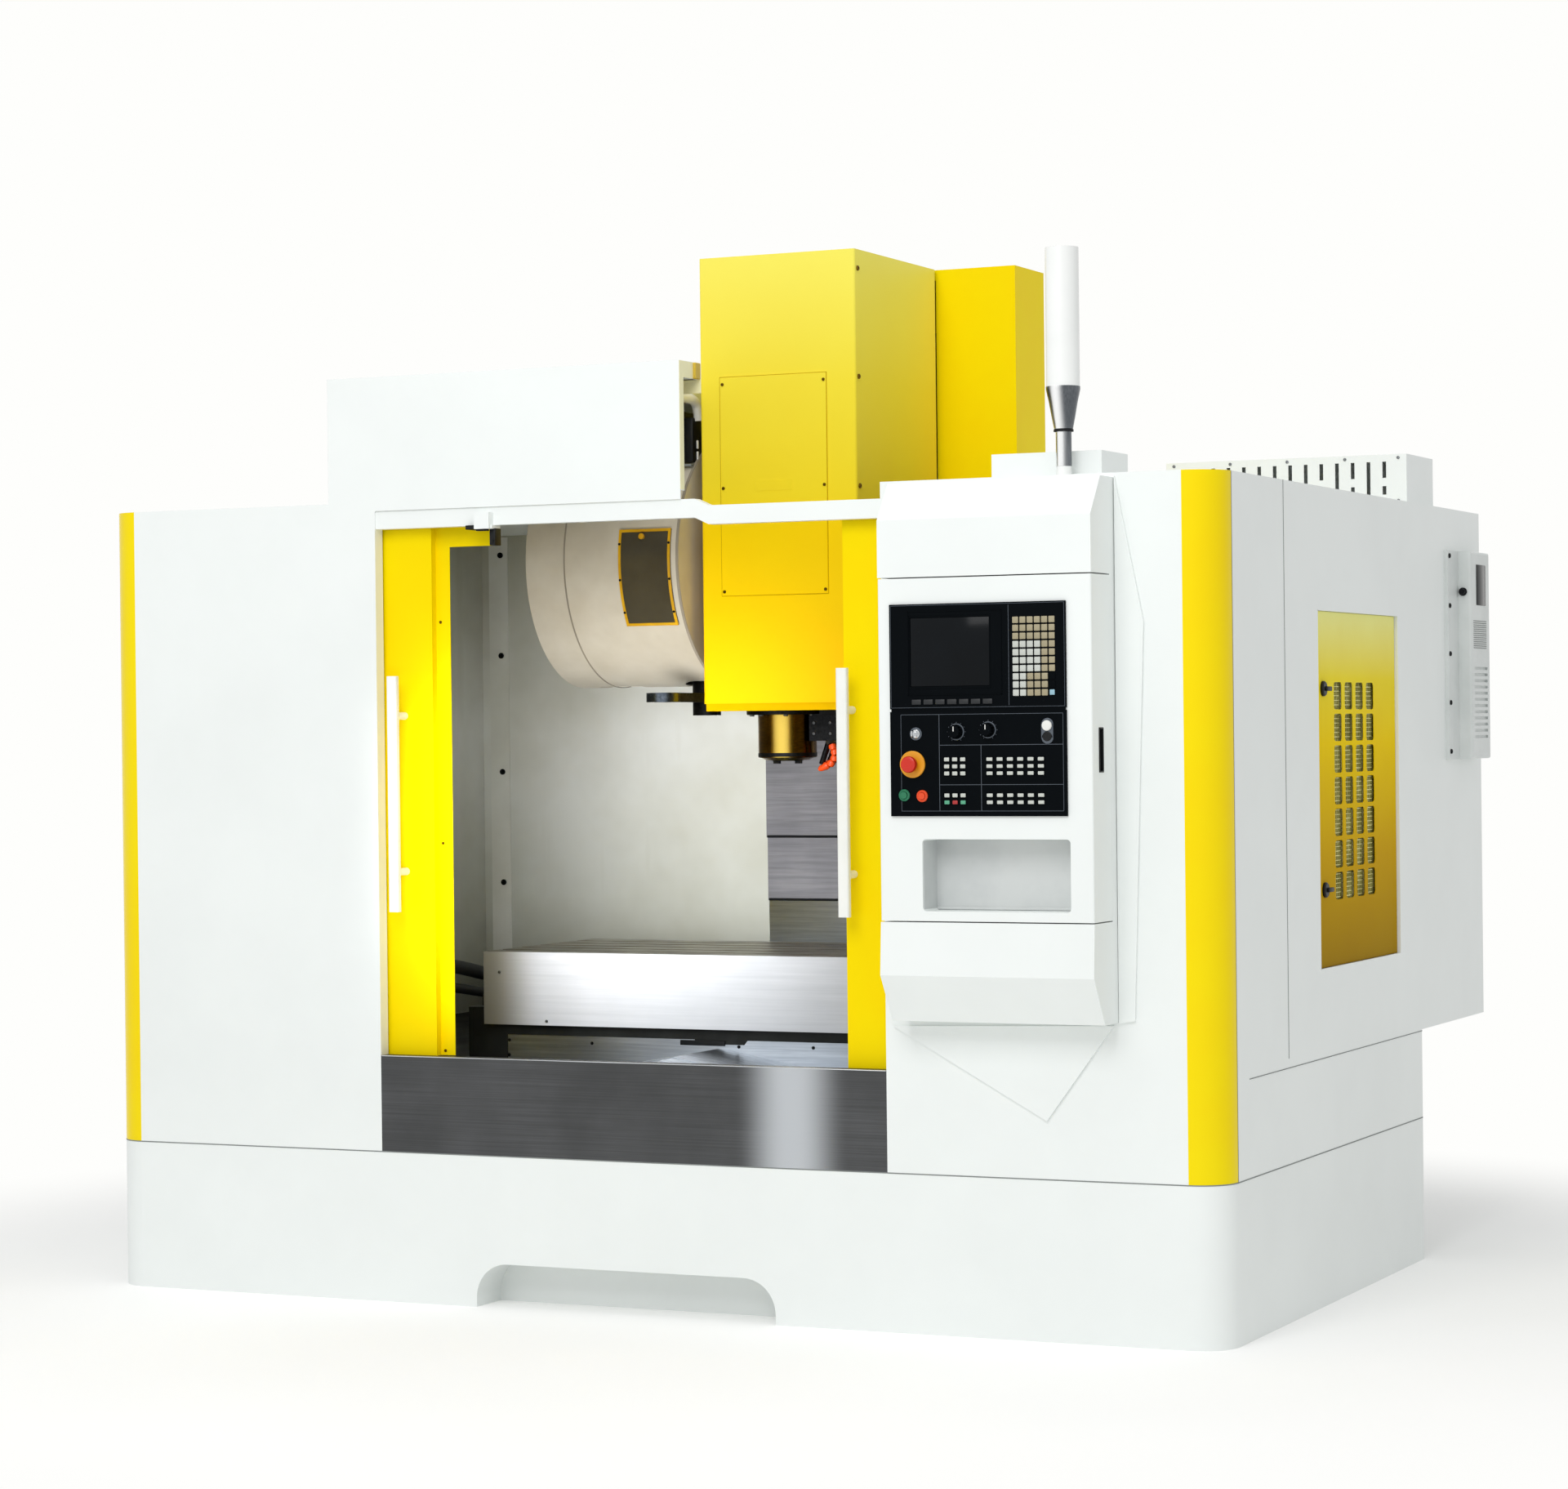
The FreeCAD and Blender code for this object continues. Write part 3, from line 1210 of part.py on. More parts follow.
hood = new_body("magazine_hood_body")
pad(hood, "XY", "cabin_height", "hood_high - cabin_height", [hood_plan("0")])
pocket(hood, "XY", "cabin_height - over", "hood_high - cabin_height - sheet + over", [hood_plan("sheet")])
pad(hood, "XZ", FRONT, "sheet",
    [box_loop("doorway_left", "hood_front_right", "cabin_height - hood_drop", "cabin_height + over")])
pocket(hood, "YZ", "hood_right - 2*over", "4*over",
       [box_loop(f"{FRONT} + hood_front_depth + 60", "hood_back - 20", "cabin_height - over", "hood_window_high")])
pocket(hood, "YZ", "hood_front_right - 2*over", "4*over",
       [box_loop(f"{FRONT} + hood_flange", f"{FRONT} + hood_front_depth + over", "cabin_height - over", "hood_high - hood_rim")])
pocket(hood, "XZ", f"{FRONT} + hood_front_depth - over", "2*over",
       [box_loop("hood_right + over", "hood_front_right + over", "cabin_height - over", "hood_high - hood_rim")])
node(rounded("hood_rounded", hood, sizes["sheet"] * 0.8,
             lambda first, last: upright(first, last) and first.y < -979 and first.x < -885 and first.z != last.z),
     "magazine_hood")

# Inner walls of the work room and the door rails between them.

inner = [
    block("inner_left", ("sheet", "wall_back - wall_front", "cabin_height - sheet - wall_low"),
          ("-wall_half - sheet", "wall_front", "wall_low")),
    block("inner_right", ("sheet", "wall_back - wall_front", "cabin_height - sheet - wall_low"),
          ("wall_half", "wall_front", "wall_low")),
    block("inner_back_left", ("wall_half - column_half - column_clearance", "sheet", "cabin_height - sheet - wall_low"),
          ("-wall_half", "wall_back - sheet", "wall_low")),
    block("inner_back_right", ("wall_half - column_half - column_clearance", "sheet", "cabin_height - sheet - wall_low"),
          ("column_half + column_clearance", "wall_back - sheet", "wall_low")),
    block("upper_door_rail", ("2*wall_half", "10", "20"), ("-wall_half", "-door_rail_back", "door_high + sheet")),
    block("lower_door_rail", ("2*wall_half", "10", "10"), ("-wall_half", "-door_rail_back - 6", "door_low - 15"))]
node(welded("walls", inner), "inner_walls")

# Chip pans: sloping stainless sheets from the walls down to the bed.


def pan(side, label):
    body = new_body(f"chip_pan_{label}")
    for start, length, edge in (("wall_front + 90", "pedestal_front - 3 - wall_front - 90", "bed_half - pan_lap"),
                                ("pedestal_front - 4", "wall_back - pedestal_front + 4", "bed_half")):
        loop = [(f"{side}({edge})", "bed_deck"), (f"{side}(bed_half + 2)", "bed_deck"), (f"{side}wall_half", "wall_low - sheet"),
                (f"{side}wall_half", "wall_low"), (f"{side}(bed_half + 2)", "bed_deck + sheet"),
                (f"{side}({edge})", "bed_deck + sheet")]
        pad(body, "XZ", start, length, [loop])
    return body


node(together("pans", [pan("-", "left"), pan("", "right")]), "chip_pans")

# Electrical cabinet at the rear right, standing on the overhang's floor.

cabinet = carved("cabinet_shell", block("cabinet_block", ("cabinet_right - cabinet_left", "cabinet_back - cabinet_front",
                                                          "cabinet_high - overhang_height - sheet"),
                                        ("cabinet_left", "cabinet_front", "overhang_height + sheet")),
                 [block("cabinet_room", ("cabinet_right - cabinet_left - 2*sheet", "cabinet_back - cabinet_front - 2*sheet",
                                         "cabinet_high - overhang_height - 3*sheet"),
                        ("cabinet_left + sheet", "cabinet_front + sheet", "overhang_height + 2*sheet"))])
node(cabinet, "electrical_cabinet")

# Cabinet cooler: flat unit screwed to the right side, with a flange before it and a grille slot.

cooler_plain = block("cooler_block", ("cooler_reach", "cooler_back - cooler_front", "cooler_high - cooler_low"),
                     (RIGHT, "cooler_front", "cooler_low"))
doc.recompute()
cooler_face = cooler_plain.Shape.BoundBox.XMax
cooler_box = rounded("cooler_rounded", cooler_plain, sizes["cooler_edge_round"],
                     lambda first, last: min(first.x, last.x) > cooler_face - 1)
cooler = welded("cooler_whole", [cooler_box, block("cooler_flange", ("cooler_flange_thick",
                                                                     "cooler_front - cooler_flange_front + over",
                                                                     "cooler_high - cooler_low"),
                                                   (RIGHT, "cooler_flange_front", "cooler_low"))])
grilles = [block("cooler_grille", ("8", "cooler_back - cooler_front - 60", "8"),
                 (f"{RIGHT} + cooler_reach - 6", "cooler_front + 30", f"cooler_low + 60 + {bar}*18"))
           for bar in range(12)]
node(carved("cooler_cut", cooler, grilles), "cooler_unit")

# Vent box on the roof over the cabinet: sheet box with slots in its front.

vent = new_body("vent_box_body")
pad(vent, "XY", "cabin_height", "vent_high - cabin_height", [box_loop("vent_left", "vent_right", "vent_front", "vent_back")])
pocket(vent, "XY", "cabin_height - over", "vent_high - cabin_height - sheet + over",
       [box_loop("vent_left + sheet", "vent_right - sheet", "vent_front + sheet", "vent_back - sheet")])
slot_left = "vent_left + 45"
slot_top = "vent_high - vent_slot_rim"
long_slot = pocket(vent, "XZ", "vent_front - over", "2*over",
                   [box_loop(slot_left, f"{slot_left} + vent_slot_width", "cabin_height + vent_slot_low", slot_top)])
row_of(vent, long_slot, "x", "2*vent_slot_pitch*(vent_slot_pairs - 1)", "vent_slot_pairs")
pair_left = f"{slot_left} + vent_slot_pitch"
short_top = "cabin_height + vent_slot_low + vent_slot_short"
slot_pair = pocket(vent, "XZ", "vent_front - over", "2*over",
                   [box_loop(pair_left, f"{pair_left} + vent_slot_width", "cabin_height + vent_slot_low", short_top),
                    box_loop(pair_left, f"{pair_left} + vent_slot_width", f"{short_top} + vent_slot_bridge", slot_top)])
row_of(vent, slot_pair, "x", "2*vent_slot_pitch*(vent_slot_pairs - 1)", "vent_slot_pairs")
node(vent, "vent_box")

# Signal lamp: milky tube on a conical foot and a short pole.

node(welded("lamp", [
    rod("lamp_foot", "lamp_pole_radius + 16", "8", ("lamp_place", "lamp_front", "cabin_height")),
    rod("lamp_pole", "lamp_pole_radius", "lamp_cone_low - cabin_height + 4", ("lamp_place", "lamp_front", "cabin_height")),
    cone("lamp_cone", "lamp_pole_radius + 4", "lamp_radius", "lamp_tube_low - lamp_cone_low",
         ("lamp_place", "lamp_front", "lamp_cone_low")),
    rod("lamp_tube", "lamp_radius", "lamp_high - lamp_tube_low", ("lamp_place", "lamp_front", "lamp_tube_low"))]),
    "signal_lamp")

# Sliding doors: folded leaves with a deep closing edge and a window.

DOOR_FACE = f"({FRONT} + door_space)"


def door_leaf(name, low, high):
    """A tray-shaped leaf from its left to its right edge, with hangers on top and a window opening."""
    leaf_body = new_body(name)
    pad(leaf_body, "XZ", DOOR_FACE, "door_fold", [box_loop(low, high, "door_low", "door_high")])
    pocket(leaf_body, "XZ", f"{DOOR_FACE} + sheet", "door_fold",
           [box_loop(f"{low} + sheet", f"{high} - sheet", "door_low + sheet", "door_high - sheet")])
    for place_text in (f"{low} + 120", f"{high} - 180"):
        pad(leaf_body, "XY", "door_high - 1", "sheet + 1 - rest_gap",
            [box_loop(place_text, f"{place_text} + 60", f"{DOOR_FACE} + 5", f"{DOOR_FACE} + door_fold")])
    start = f"{low} + window_inset"
    pocket(leaf_body, "XZ", f"{DOOR_FACE} - over", "2*over",
           [box_loop(start, f"{start} + window_width", "window_low", "window_high")])
    pane = block(name + "_pane", ("window_width + 2*pane_lap", "pane_thick", "window_high - window_low + 2*pane_lap"),
                 (f"{start} - pane_lap", f"{DOOR_FACE} + sheet", "window_low - pane_lap"))
    return leaf_body, pane


def handle(name, across):
    bar = rounded(name + "_bar", block(name + "_block", ("handle_width", "handle_thick", "handle_high - handle_low"),
                                       (f"{across} - handle_width/2", f"{DOOR_FACE} - handle_reach", "handle_low")),
                  6, upright)
    feet_of_bar = [rod(name + "_foot", "handle_foot_radius", "handle_reach - handle_thick + 1",
                       (across, f"{DOOR_FACE} - handle_reach + handle_thick - 1", height), "y")
                   for height in ("handle_low + handle_end", "handle_high - handle_end")]
    return welded(name + "_whole", [bar] + feet_of_bar)


# The left leaf carries a lap plate, which passes behind the right leaf, with an arm along the top.

left_leaf, left_pane = door_leaf("left_door_body", "left_door_outer", "left_door_edge")
pad(left_leaf, "XZ", f"{DOOR_FACE} + door_fold", "lap_step",
    [box_loop("left_door_edge - lap_overlap", "left_door_edge", "door_low", "door_high")])
pad(left_leaf, "XZ", f"{DOOR_FACE} + door_fold + lap_step", "lap_thick",
    [[("left_door_edge - lap_overlap", "door_low"), ("left_door_edge + lap_width", "door_low"),
      ("left_door_edge + lap_width", "door_high - lap_arm_height"),
      ("left_door_edge + lap_arm", "door_high - lap_arm_height"), ("left_door_edge + lap_arm", "door_high"),
      ("left_door_edge - lap_overlap", "door_high")]])
node(left_leaf, "left_door")
node(left_pane, "left_window")
node(handle("left_handle", "left_handle_place"), "left_handle")
right_leaf, right_pane = door_leaf("right_door_body", "right_door_edge", "right_door_outer")
node(right_leaf, "right_door")
node(right_pane, "right_window")
node(handle("right_handle", "right_handle_place"), "right_handle")

# Console housing: folded hoods above and below the console door, and the flat back plate between them.

housing = new_body("console_housing_body")
pad(housing, "YZ", "console_left", "console_right - console_left",
    [[(FRONT, "console_high"), (f"{FRONT} - 95", "console_high"), (f"{FRONT} - console_reach", "console_high - 94"),
      (f"{FRONT} - console_reach", "console_door_high + console_gap"),
      (f"{FRONT} - console_plate", "console_door_high + console_gap"),
      (f"{FRONT} - console_plate", "console_door_low - console_gap"),
      (f"{FRONT} - console_reach", "console_door_low - console_gap"),
      (f"{FRONT} - console_reach - 8", "console_low + 116"), (f"{FRONT} - 100", "console_low"), (FRONT, "console_low")]])
node(housing, "console_housing")

# Console door: deep folded tray with a recess below and openings for the two units.

CONSOLE_FACE = f"({FRONT} - console_reach)"
UNIT_FACE = f"({CONSOLE_FACE} - unit_proud)"
console_block = rounded("console_rounded",
                        block("console_block", ("console_right - console_left", "console_reach - console_plate - rest_gap",
                                                "console_door_high - console_door_low"),
                              ("console_left", CONSOLE_FACE, "console_door_low")),
                        5, lambda first, last: upright(first, last) and first.y < -1144)
console_room = block("console_room", ("console_right - console_left - 2*sheet", "console_reach",
                                      "console_door_high - console_door_low - 2*sheet"),
                     ("console_left + sheet", f"{CONSOLE_FACE} + sheet", "console_door_low + sheet"))
niche_box = block("niche_box", ("niche_right - niche_left + 2*sheet", "niche_depth", "niche_high - niche_low + 2*sheet"),
                  ("niche_left - sheet", f"{CONSOLE_FACE} + 1", "niche_low - sheet"))
niche_room = rounded("niche_rounded",
                     block("niche_room", ("niche_right - niche_left", "niche_depth + over - sheet + 1", "niche_high - niche_low"),
                           ("niche_left", f"{CONSOLE_FACE} - over", "niche_low")), 10, lengthwise)
unit_rooms = [block("unit_room", ("unit_right - unit_left - 2*bezel + 2*rest_gap", "4*sheet", f"{high} - {low} - 2*bezel + 2*rest_gap"),
                    ("unit_left + bezel - rest_gap", f"{CONSOLE_FACE} - sheet", f"{low} + bezel - rest_gap"))
              for low, high in (("display_low", "display_high"), ("operator_low", "operator_high"))]
grip_room = block("grip_room", ("sheet + 8", "24", "grip_high - grip_low"),
                  ("console_right - sheet - 4", f"{CONSOLE_FACE} + 45", "grip_low"))
console_shell = carved("console_shell", console_block, [console_room])
node(carved("console_leaf", welded("console_raw", [console_shell, niche_box]), [niche_room, grip_room] + unit_rooms),
     "console_door")


def unit_case(name, low, high):
    """A bezel on the door's face with a shallower body behind it."""
    return [block(name + "_bezel", ("unit_right - unit_left", "unit_proud", f"{high} - {low}"),
                  ("unit_left", UNIT_FACE, low)),
            block(name + "_case", ("unit_right - unit_left - 2*bezel", "unit_depth + 1", f"{high} - {low} - 2*bezel"),
                  ("unit_left + bezel", f"{CONSOLE_FACE} - 1", f"{low} + bezel"))]


def keys(left, low, columns, rows, column_pitch, row_pitch, width, height):
    found = []
    for column_number in range(columns):
        for row_number in range(rows):
            found.append(block("key", (str(width), "2.5", str(height)),
                               (f"{left} + {column_number}*{column_pitch}", f"{UNIT_FACE} - 1.5",
                                f"{low} + {row_number}*{row_pitch}")))
    return found


screen = block("screen_room", ("208", "2*sheet", "168"), ("867", f"{UNIT_FACE} - sheet", "1603"))
node(carved("display", welded("display_raw", unit_case("display", "display_low", "display_high")
                              + keys("1136", "1578", 6, 10, 18.6, 19.4, 15, 15)), [screen]), "display_unit")

# Operator panel with its fixed keys, rings round the push-buttons and bores for the moving ones.

panel_pieces = unit_case("operator", "operator_low", "operator_high")
panel_pieces += keys("953", "1386", 3, 3, 21, 17, 17, 13) + keys("1063", "1386", 6, 3, 26.5, 17, 20, 13)
panel_pieces += keys("953", "1316", 3, 2, 21, 17, 17, 13) + keys("1063", "1316", 6, 2, 26.5, 17, 20, 13)
panel_pieces.append(rod("stop_ring", "mushroom_radius + 12", "5", ("stop_place", f"{UNIT_FACE} - 4", "stop_height"), "y"))
for across, height in (("start_place", "start_height"), ("hold_place", "hold_height")):
    panel_pieces.append(rod("button_ring", "button_radius + 5", "4", (across, f"{UNIT_FACE} - 3", height), "y"))
panel_bores = [rod("bore", f"{radius} + rest_gap", "50", (across, f"{UNIT_FACE} - 20", height), "y")
               for radius, across, height in (
                   ("mushroom_stem", "stop_place", "stop_height"), ("button_radius", "start_place", "start_height"),
                   ("button_radius", "hold_place", "hold_height"), ("knob_stem", "feed_place", "feed_height"),
                   ("knob_stem", "speed_place", "speed_height"), ("knob_stem", "lock_place", "lock_height"))]
node(carved("operator", welded("operator_raw", panel_pieces), panel_bores), "operator_panel")

node(welded("mushroom", [
    rod("mushroom_head", "mushroom_radius", "20", ("stop_place", f"{UNIT_FACE} - 34", "stop_height"), "y"),
    rod("mushroom_rod", "mushroom_stem", "36", ("stop_place", f"{UNIT_FACE} - 15", "stop_height"), "y")]),
    "emergency_stop")
node(rod("start", "button_radius", "29", ("start_place", f"{UNIT_FACE} - 8", "start_height"), "y"), "start_button")
node(rod("hold", "button_radius", "29", ("hold_place", f"{UNIT_FACE} - 8", "hold_height"), "y"), "stop_button")
for label, across, height in (("feed_knob", "feed_place", "feed_height"), ("spindle_knob", "speed_place", "speed_height")):
    node(welded(label + "_whole", [
        cone(label + "_cap", "knob_radius - 2", "knob_radius", "20 - rest_gap", (across, f"{UNIT_FACE} - 20", height), "y"),
        block(label + "_mark", ("3", "3", "knob_radius - 4"), (f"{across} - 1.5", f"{UNIT_FACE} - 21.5", height)),
        rod(label + "_stem", "knob_stem", "22", (across, f"{UNIT_FACE} - 1", height), "y")]), label)
node(welded("lock", [
    rod("lock_face", "lock_radius", "6 - rest_gap", ("lock_place", f"{UNIT_FACE} - 6", "lock_height"), "y"),
    block("lock_key", ("3", "24", "20"), ("lock_place - 1.5", f"{UNIT_FACE} - 29", "lock_height - 10")),
    rod("lock_stem", "knob_stem", "20", ("lock_place", f"{UNIT_FACE} - 1", "lock_height"), "y")]), "key_switch")

# Tool changer: gearbox between column and drum, on an arm from the column's left side.

gearbox = welded("gearbox_raw", [
    block("gear_block", ("gear_right - gear_left", "gear_back - gear_front", "gear_high - gear_low"),
          ("gear_left", "gear_front", "gear_low")),
    rod("gear_boss", "boss_radius", "gear_low - boss_low + 5", ("arm_place", "arm_line", "boss_low")),
    block("gear_bracket", ("-column_half - gear_left", "bracket_back - gear_back + 50", "bracket_high - bracket_low"),
          ("gear_left", "gear_back - 50", "bracket_low")),
    block("gear_seat", ("drum_right - sheet - gear_right + 1", "40", "60"), ("gear_right - 1", "drum_line - 20", "gear_high - 160"))])
node(carved("gearbox", gearbox, [rod("disc_bore", "shaft_of_disc + rest_gap", "60",
                                     ("gear_left - over", "drum_line", "drum_height"), "x")]), "tool_changer_body")

# Drum cover: closed sheet drum round the magazine, with a window, a pot opening and a hole for the arm.


def window_block(name, margin, depth):
    return block(name, (f"drum_window_right - drum_window_left + 2*({margin})", depth,
                        f"drum_window_high - drum_window_low + 2*({margin})"),
                 (f"drum_window_left - ({margin})", "drum_line - drum_radius - 2*over", f"drum_window_low - ({margin})"))


drum_shell = carved("drum_shell", rod("drum_outer", "drum_radius", "drum_right - drum_left",
                                      ("drum_left", "drum_line", "drum_height"), "x"), [
    rod("drum_inner", "drum_radius - sheet", "drum_right - drum_left - 2*sheet",
        ("drum_left + sheet", "drum_line", "drum_height"), "x"),
    window_block("drum_window_room", "rest_gap", "drum_radius/2"),
    block("pot_hole", ("pot_hole_right - pot_hole_left", "2*pot_hole_half", "60"),
          ("pot_hole_left", "drum_line - pot_hole_half", "drum_height - drum_radius - 20")),
    rod("arm_hole", "boss_radius + 5", "60", ("arm_place", "arm_line", "drum_height - drum_radius - 20")),
    block("bracket_hole", ("-column_half - gear_left + 4", "120", "bracket_high - bracket_low + 4"),
          ("gear_left - 2", "drum_line + drum_radius - 100", "bracket_low - 2"))])
node(drum_shell, "drum_cover")


def drum_ring(name, inner_offset, outer_offset):
    return carved(name, rod(name + "_outer", f"drum_radius + {outer_offset}", "drum_right - drum_left - 2*over",
                            ("drum_left + over", "drum_line", "drum_height"), "x"),
                  [rod(name + "_inner", f"drum_radius + {inner_offset}", "drum_right - drum_left",
                       ("drum_left", "drum_line", "drum_height"), "x")])


def overlap(name, first, second):
    item = doc.addObject("Part::Common", name)
    item.Base = first
    item.Tool = second
    return item


window_frame = overlap("window_frame", drum_ring("frame_ring", "rest_gap", "6"), window_block("frame_block", "drum_frame", "drum_radius/2"))
window_pane = overlap("window_pane", drum_ring("pane_ring", "-sheet", "3"), window_block("pane_block", "0", "drum_radius/2"))
node(welded("drum_window_whole", [window_frame, window_pane]), "drum_window")

# Tool disc: plate with tool pots in a ring, on a shaft that runs in the gearbox; a fork holds the change pot.

disc_pieces = [
    rod("disc_plate", "disc_radius", "disc_thick", ("disc_left", "drum_line", "drum_height"), "x"),
    rod("disc_shaft", "shaft_of_disc", "gear_left + 45 - disc_left - disc_thick + 1",
        ("disc_left + disc_thick - 1", "drum_line", "drum_height"), "x")]
pot_bores = []
for station in range(1, sizes["pot_count"]):
    angle = 360 * station / sizes["pot_count"]
    line = f"drum_line + pot_circle*sin({angle})"
    height = f"drum_height - pot_circle*cos({angle})"
    disc_pieces.append(rod("pot", "pot_radius", "pot_length", ("pot_mouth", line, height), "x"))
    disc_pieces.append(rod("pot_neck", "pot_radius/2", "disc_left - pot_mouth - pot_length + 2",
                           ("pot_mouth + pot_length - 1", line, height), "x"))
    pot_bores.append(cone("pot_bore", "taper_mouth", "taper_end", "taper_length", ("pot_mouth", line, height), "x"))
for side in ("-", ""):
    cheek = block("pot_cheek", ("disc_left - pot_hinge + 12", "6", "24"),
                  ("pot_hinge - 12", f"drum_line + {side}(pot_radius + 6) - 3", "drum_height - pot_circle - 12"))
    disc_pieces.append(cheek)
pot_bores.append(rod("pin_bore", "pot_pin_radius + rest_gap", "2*pot_radius + 40",
                     ("pot_hinge", "drum_line - pot_radius - 20", "drum_height - pot_circle"), "y"))
node(carved("disc", welded("disc_raw", disc_pieces), pot_bores), "tool_disc")

pot_axis = "drum_height - pot_circle"
pot_body = welded("change_pot_raw", [
    rod("change_pot_sleeve", "pot_radius", "pot_length", ("pot_mouth", "drum_line", pot_axis), "x"),
    rod("change_pot_pin", "pot_pin_radius", "2*pot_radius + 18", ("pot_hinge", "drum_line - pot_radius - 9", pot_axis), "y")])
node(carved("change_pot_body", pot_body,
            [cone("change_pot_bore", "taper_mouth", "taper_end", "taper_length", ("pot_mouth", "drum_line", pot_axis), "x")]),
     "change_pot")

# Arm hub and double swap arm under the drum.

hub_raw = carved("hub_raw", rod("hub", "hub_radius", "boss_low - rest_gap - hub_low", ("arm_place", "arm_line", "hub_low")), [
    carved("hub_neck", rod("hub_neck_outer", "hub_radius + over", "arm_high - arm_low + 2*rest_gap",
                           ("arm_place", "arm_line", "arm_low - rest_gap")),
           [rod("hub_neck_inner", "hub_radius - 8", "arm_high - arm_low + 4*over", ("arm_place", "arm_line", "arm_low - over"))])])
node(carved("hub_forked", hub_raw, [block("hub_fork", ("2*hub_radius + 2*over", "26", "24"),
                                          ("arm_place - hub_radius - over", "arm_line - 13", "hub_low - 1"))]), "arm_hub")
arm_pieces = [rod("arm_centre", "hub_radius + 12", "arm_high - arm_low", ("arm_place", "arm_line", "arm_low")),
              block("arm_bar", ("2*arm_half", "2*arm_radius", "arm_high - arm_low"),
                    ("arm_place - arm_half", "arm_line - arm_radius", "arm_low"))]
arm_cuts = [rod("arm_bore", "hub_radius - 8 + rest_gap", "arm_high - arm_low + 2*over", ("arm_place", "arm_line", "arm_low - over"))]
for side in ("-", "+"):
    arm_pieces.append(rod("gripper", "gripper_radius", "arm_high - arm_low", ("arm_place", f"arm_line {side} arm_radius", "arm_low")))
    arm_cuts.append(rod("gripper_bore", "gripper_room", "arm_high - arm_low + 2*over",
                        ("arm_place", f"arm_line {side} arm_radius", "arm_low - over")))
mouth_side = (("-", "arm_place - gripper_radius - over"), ("+", "arm_place"))
for side, start in mouth_side:
    arm_cuts.append(block("gripper_mouth", ("gripper_radius + over", "2*gripper_room - 14", "arm_high - arm_low + 2*over"),
                          (start, f"arm_line {side} arm_radius - gripper_room + 7", "arm_low - over")))
node(carved("arm", welded("arm_raw", arm_pieces), arm_cuts), "swap_arm")

# Checks and files ------------------------------------------------------------------------------------

doc.recompute()
faulty = [item.Name for item in doc.Objects if "Invalid" in item.State or "Error" in item.State]
if faulty:
    raise RuntimeError("objects with a fault: " + ", ".join(faulty))
for item in nodes:
    if item.Shape.isNull() or not item.Shape.isValid() or item.Shape.Volume <= 0:
        raise RuntimeError("no valid solid: " + item.Label)
os.makedirs("parts", exist_ok=True)
for item in nodes:
    item.Shape.exportStep(f"parts/{item.Label}.step")
    print(item.Label, len(item.Shape.Solids), round(item.Shape.Volume / 1e6, 1))
print(len(nodes), "sub-parts")
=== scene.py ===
# Looks of an enclosed vertical machining centre: white and yellow sheet-metal cabin with sliding doors,
# a slotted table, a spindle head, a drum of tools and a swing-out console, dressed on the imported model.
import bpy, bmesh
from math import radians, sin, cos
from mathutils import Matrix, Vector


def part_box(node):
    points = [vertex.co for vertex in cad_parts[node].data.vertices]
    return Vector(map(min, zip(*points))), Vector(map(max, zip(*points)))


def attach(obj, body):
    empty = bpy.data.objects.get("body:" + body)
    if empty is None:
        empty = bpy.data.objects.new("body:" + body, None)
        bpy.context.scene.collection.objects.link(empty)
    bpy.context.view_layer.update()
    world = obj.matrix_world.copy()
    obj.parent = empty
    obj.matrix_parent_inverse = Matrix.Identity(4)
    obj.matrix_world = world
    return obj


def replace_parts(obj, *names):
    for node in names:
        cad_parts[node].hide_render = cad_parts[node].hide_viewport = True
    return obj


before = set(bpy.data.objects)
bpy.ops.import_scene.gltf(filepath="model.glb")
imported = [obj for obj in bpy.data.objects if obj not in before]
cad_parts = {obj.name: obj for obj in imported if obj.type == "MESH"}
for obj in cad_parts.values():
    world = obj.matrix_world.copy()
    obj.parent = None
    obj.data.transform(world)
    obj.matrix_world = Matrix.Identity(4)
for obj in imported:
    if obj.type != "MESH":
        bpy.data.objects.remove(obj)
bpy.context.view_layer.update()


# Camera -------------------
# It stands ten metres before the machine, a little to its right and at chest height, with a long
# lens; its turn, nod and tilt were measured from straight edges of the machine.
eye = Vector((4.5274, -9.7074, 1.5088))
turn, nod, tilt = radians(25.0585), radians(-0.2582), radians(-0.6468)
ahead = Vector((-sin(turn) * cos(nod), cos(turn) * cos(nod), sin(nod)))
right = Vector((cos(turn), sin(turn), 0))
up = right.cross(ahead)
right, up = cos(tilt) * right + sin(tilt) * up, cos(tilt) * up - sin(tilt) * right
camera = bpy.data.objects.new("camera", bpy.data.cameras.new("camera"))
camera.data.sensor_width = 36
camera.data.lens = 87.87
camera.data.clip_end = 200
camera.matrix_world = Matrix.Translation(eye) @ Matrix((right, up, -ahead)).transposed().to_4x4()
bpy.context.scene.collection.objects.link(camera)
bpy.context.scene.camera = camera


# Studio light -------------
# An even white room: a soft sky all round, a broad lamp high before the machine, a weaker one above,
# and a small one before the doorway. What camera and gloss see of the room is plain white.
def linear(colour):
    """A screen colour such as "#F4F9F6" in linear light."""
    parts = [int(colour[place:place + 2], 16) / 255 for place in (1, 3, 5)]
    return [part / 12.92 if part <= 0.04045 else ((part + 0.055) / 1.055) ** 2.4 for part in parts] + [1]


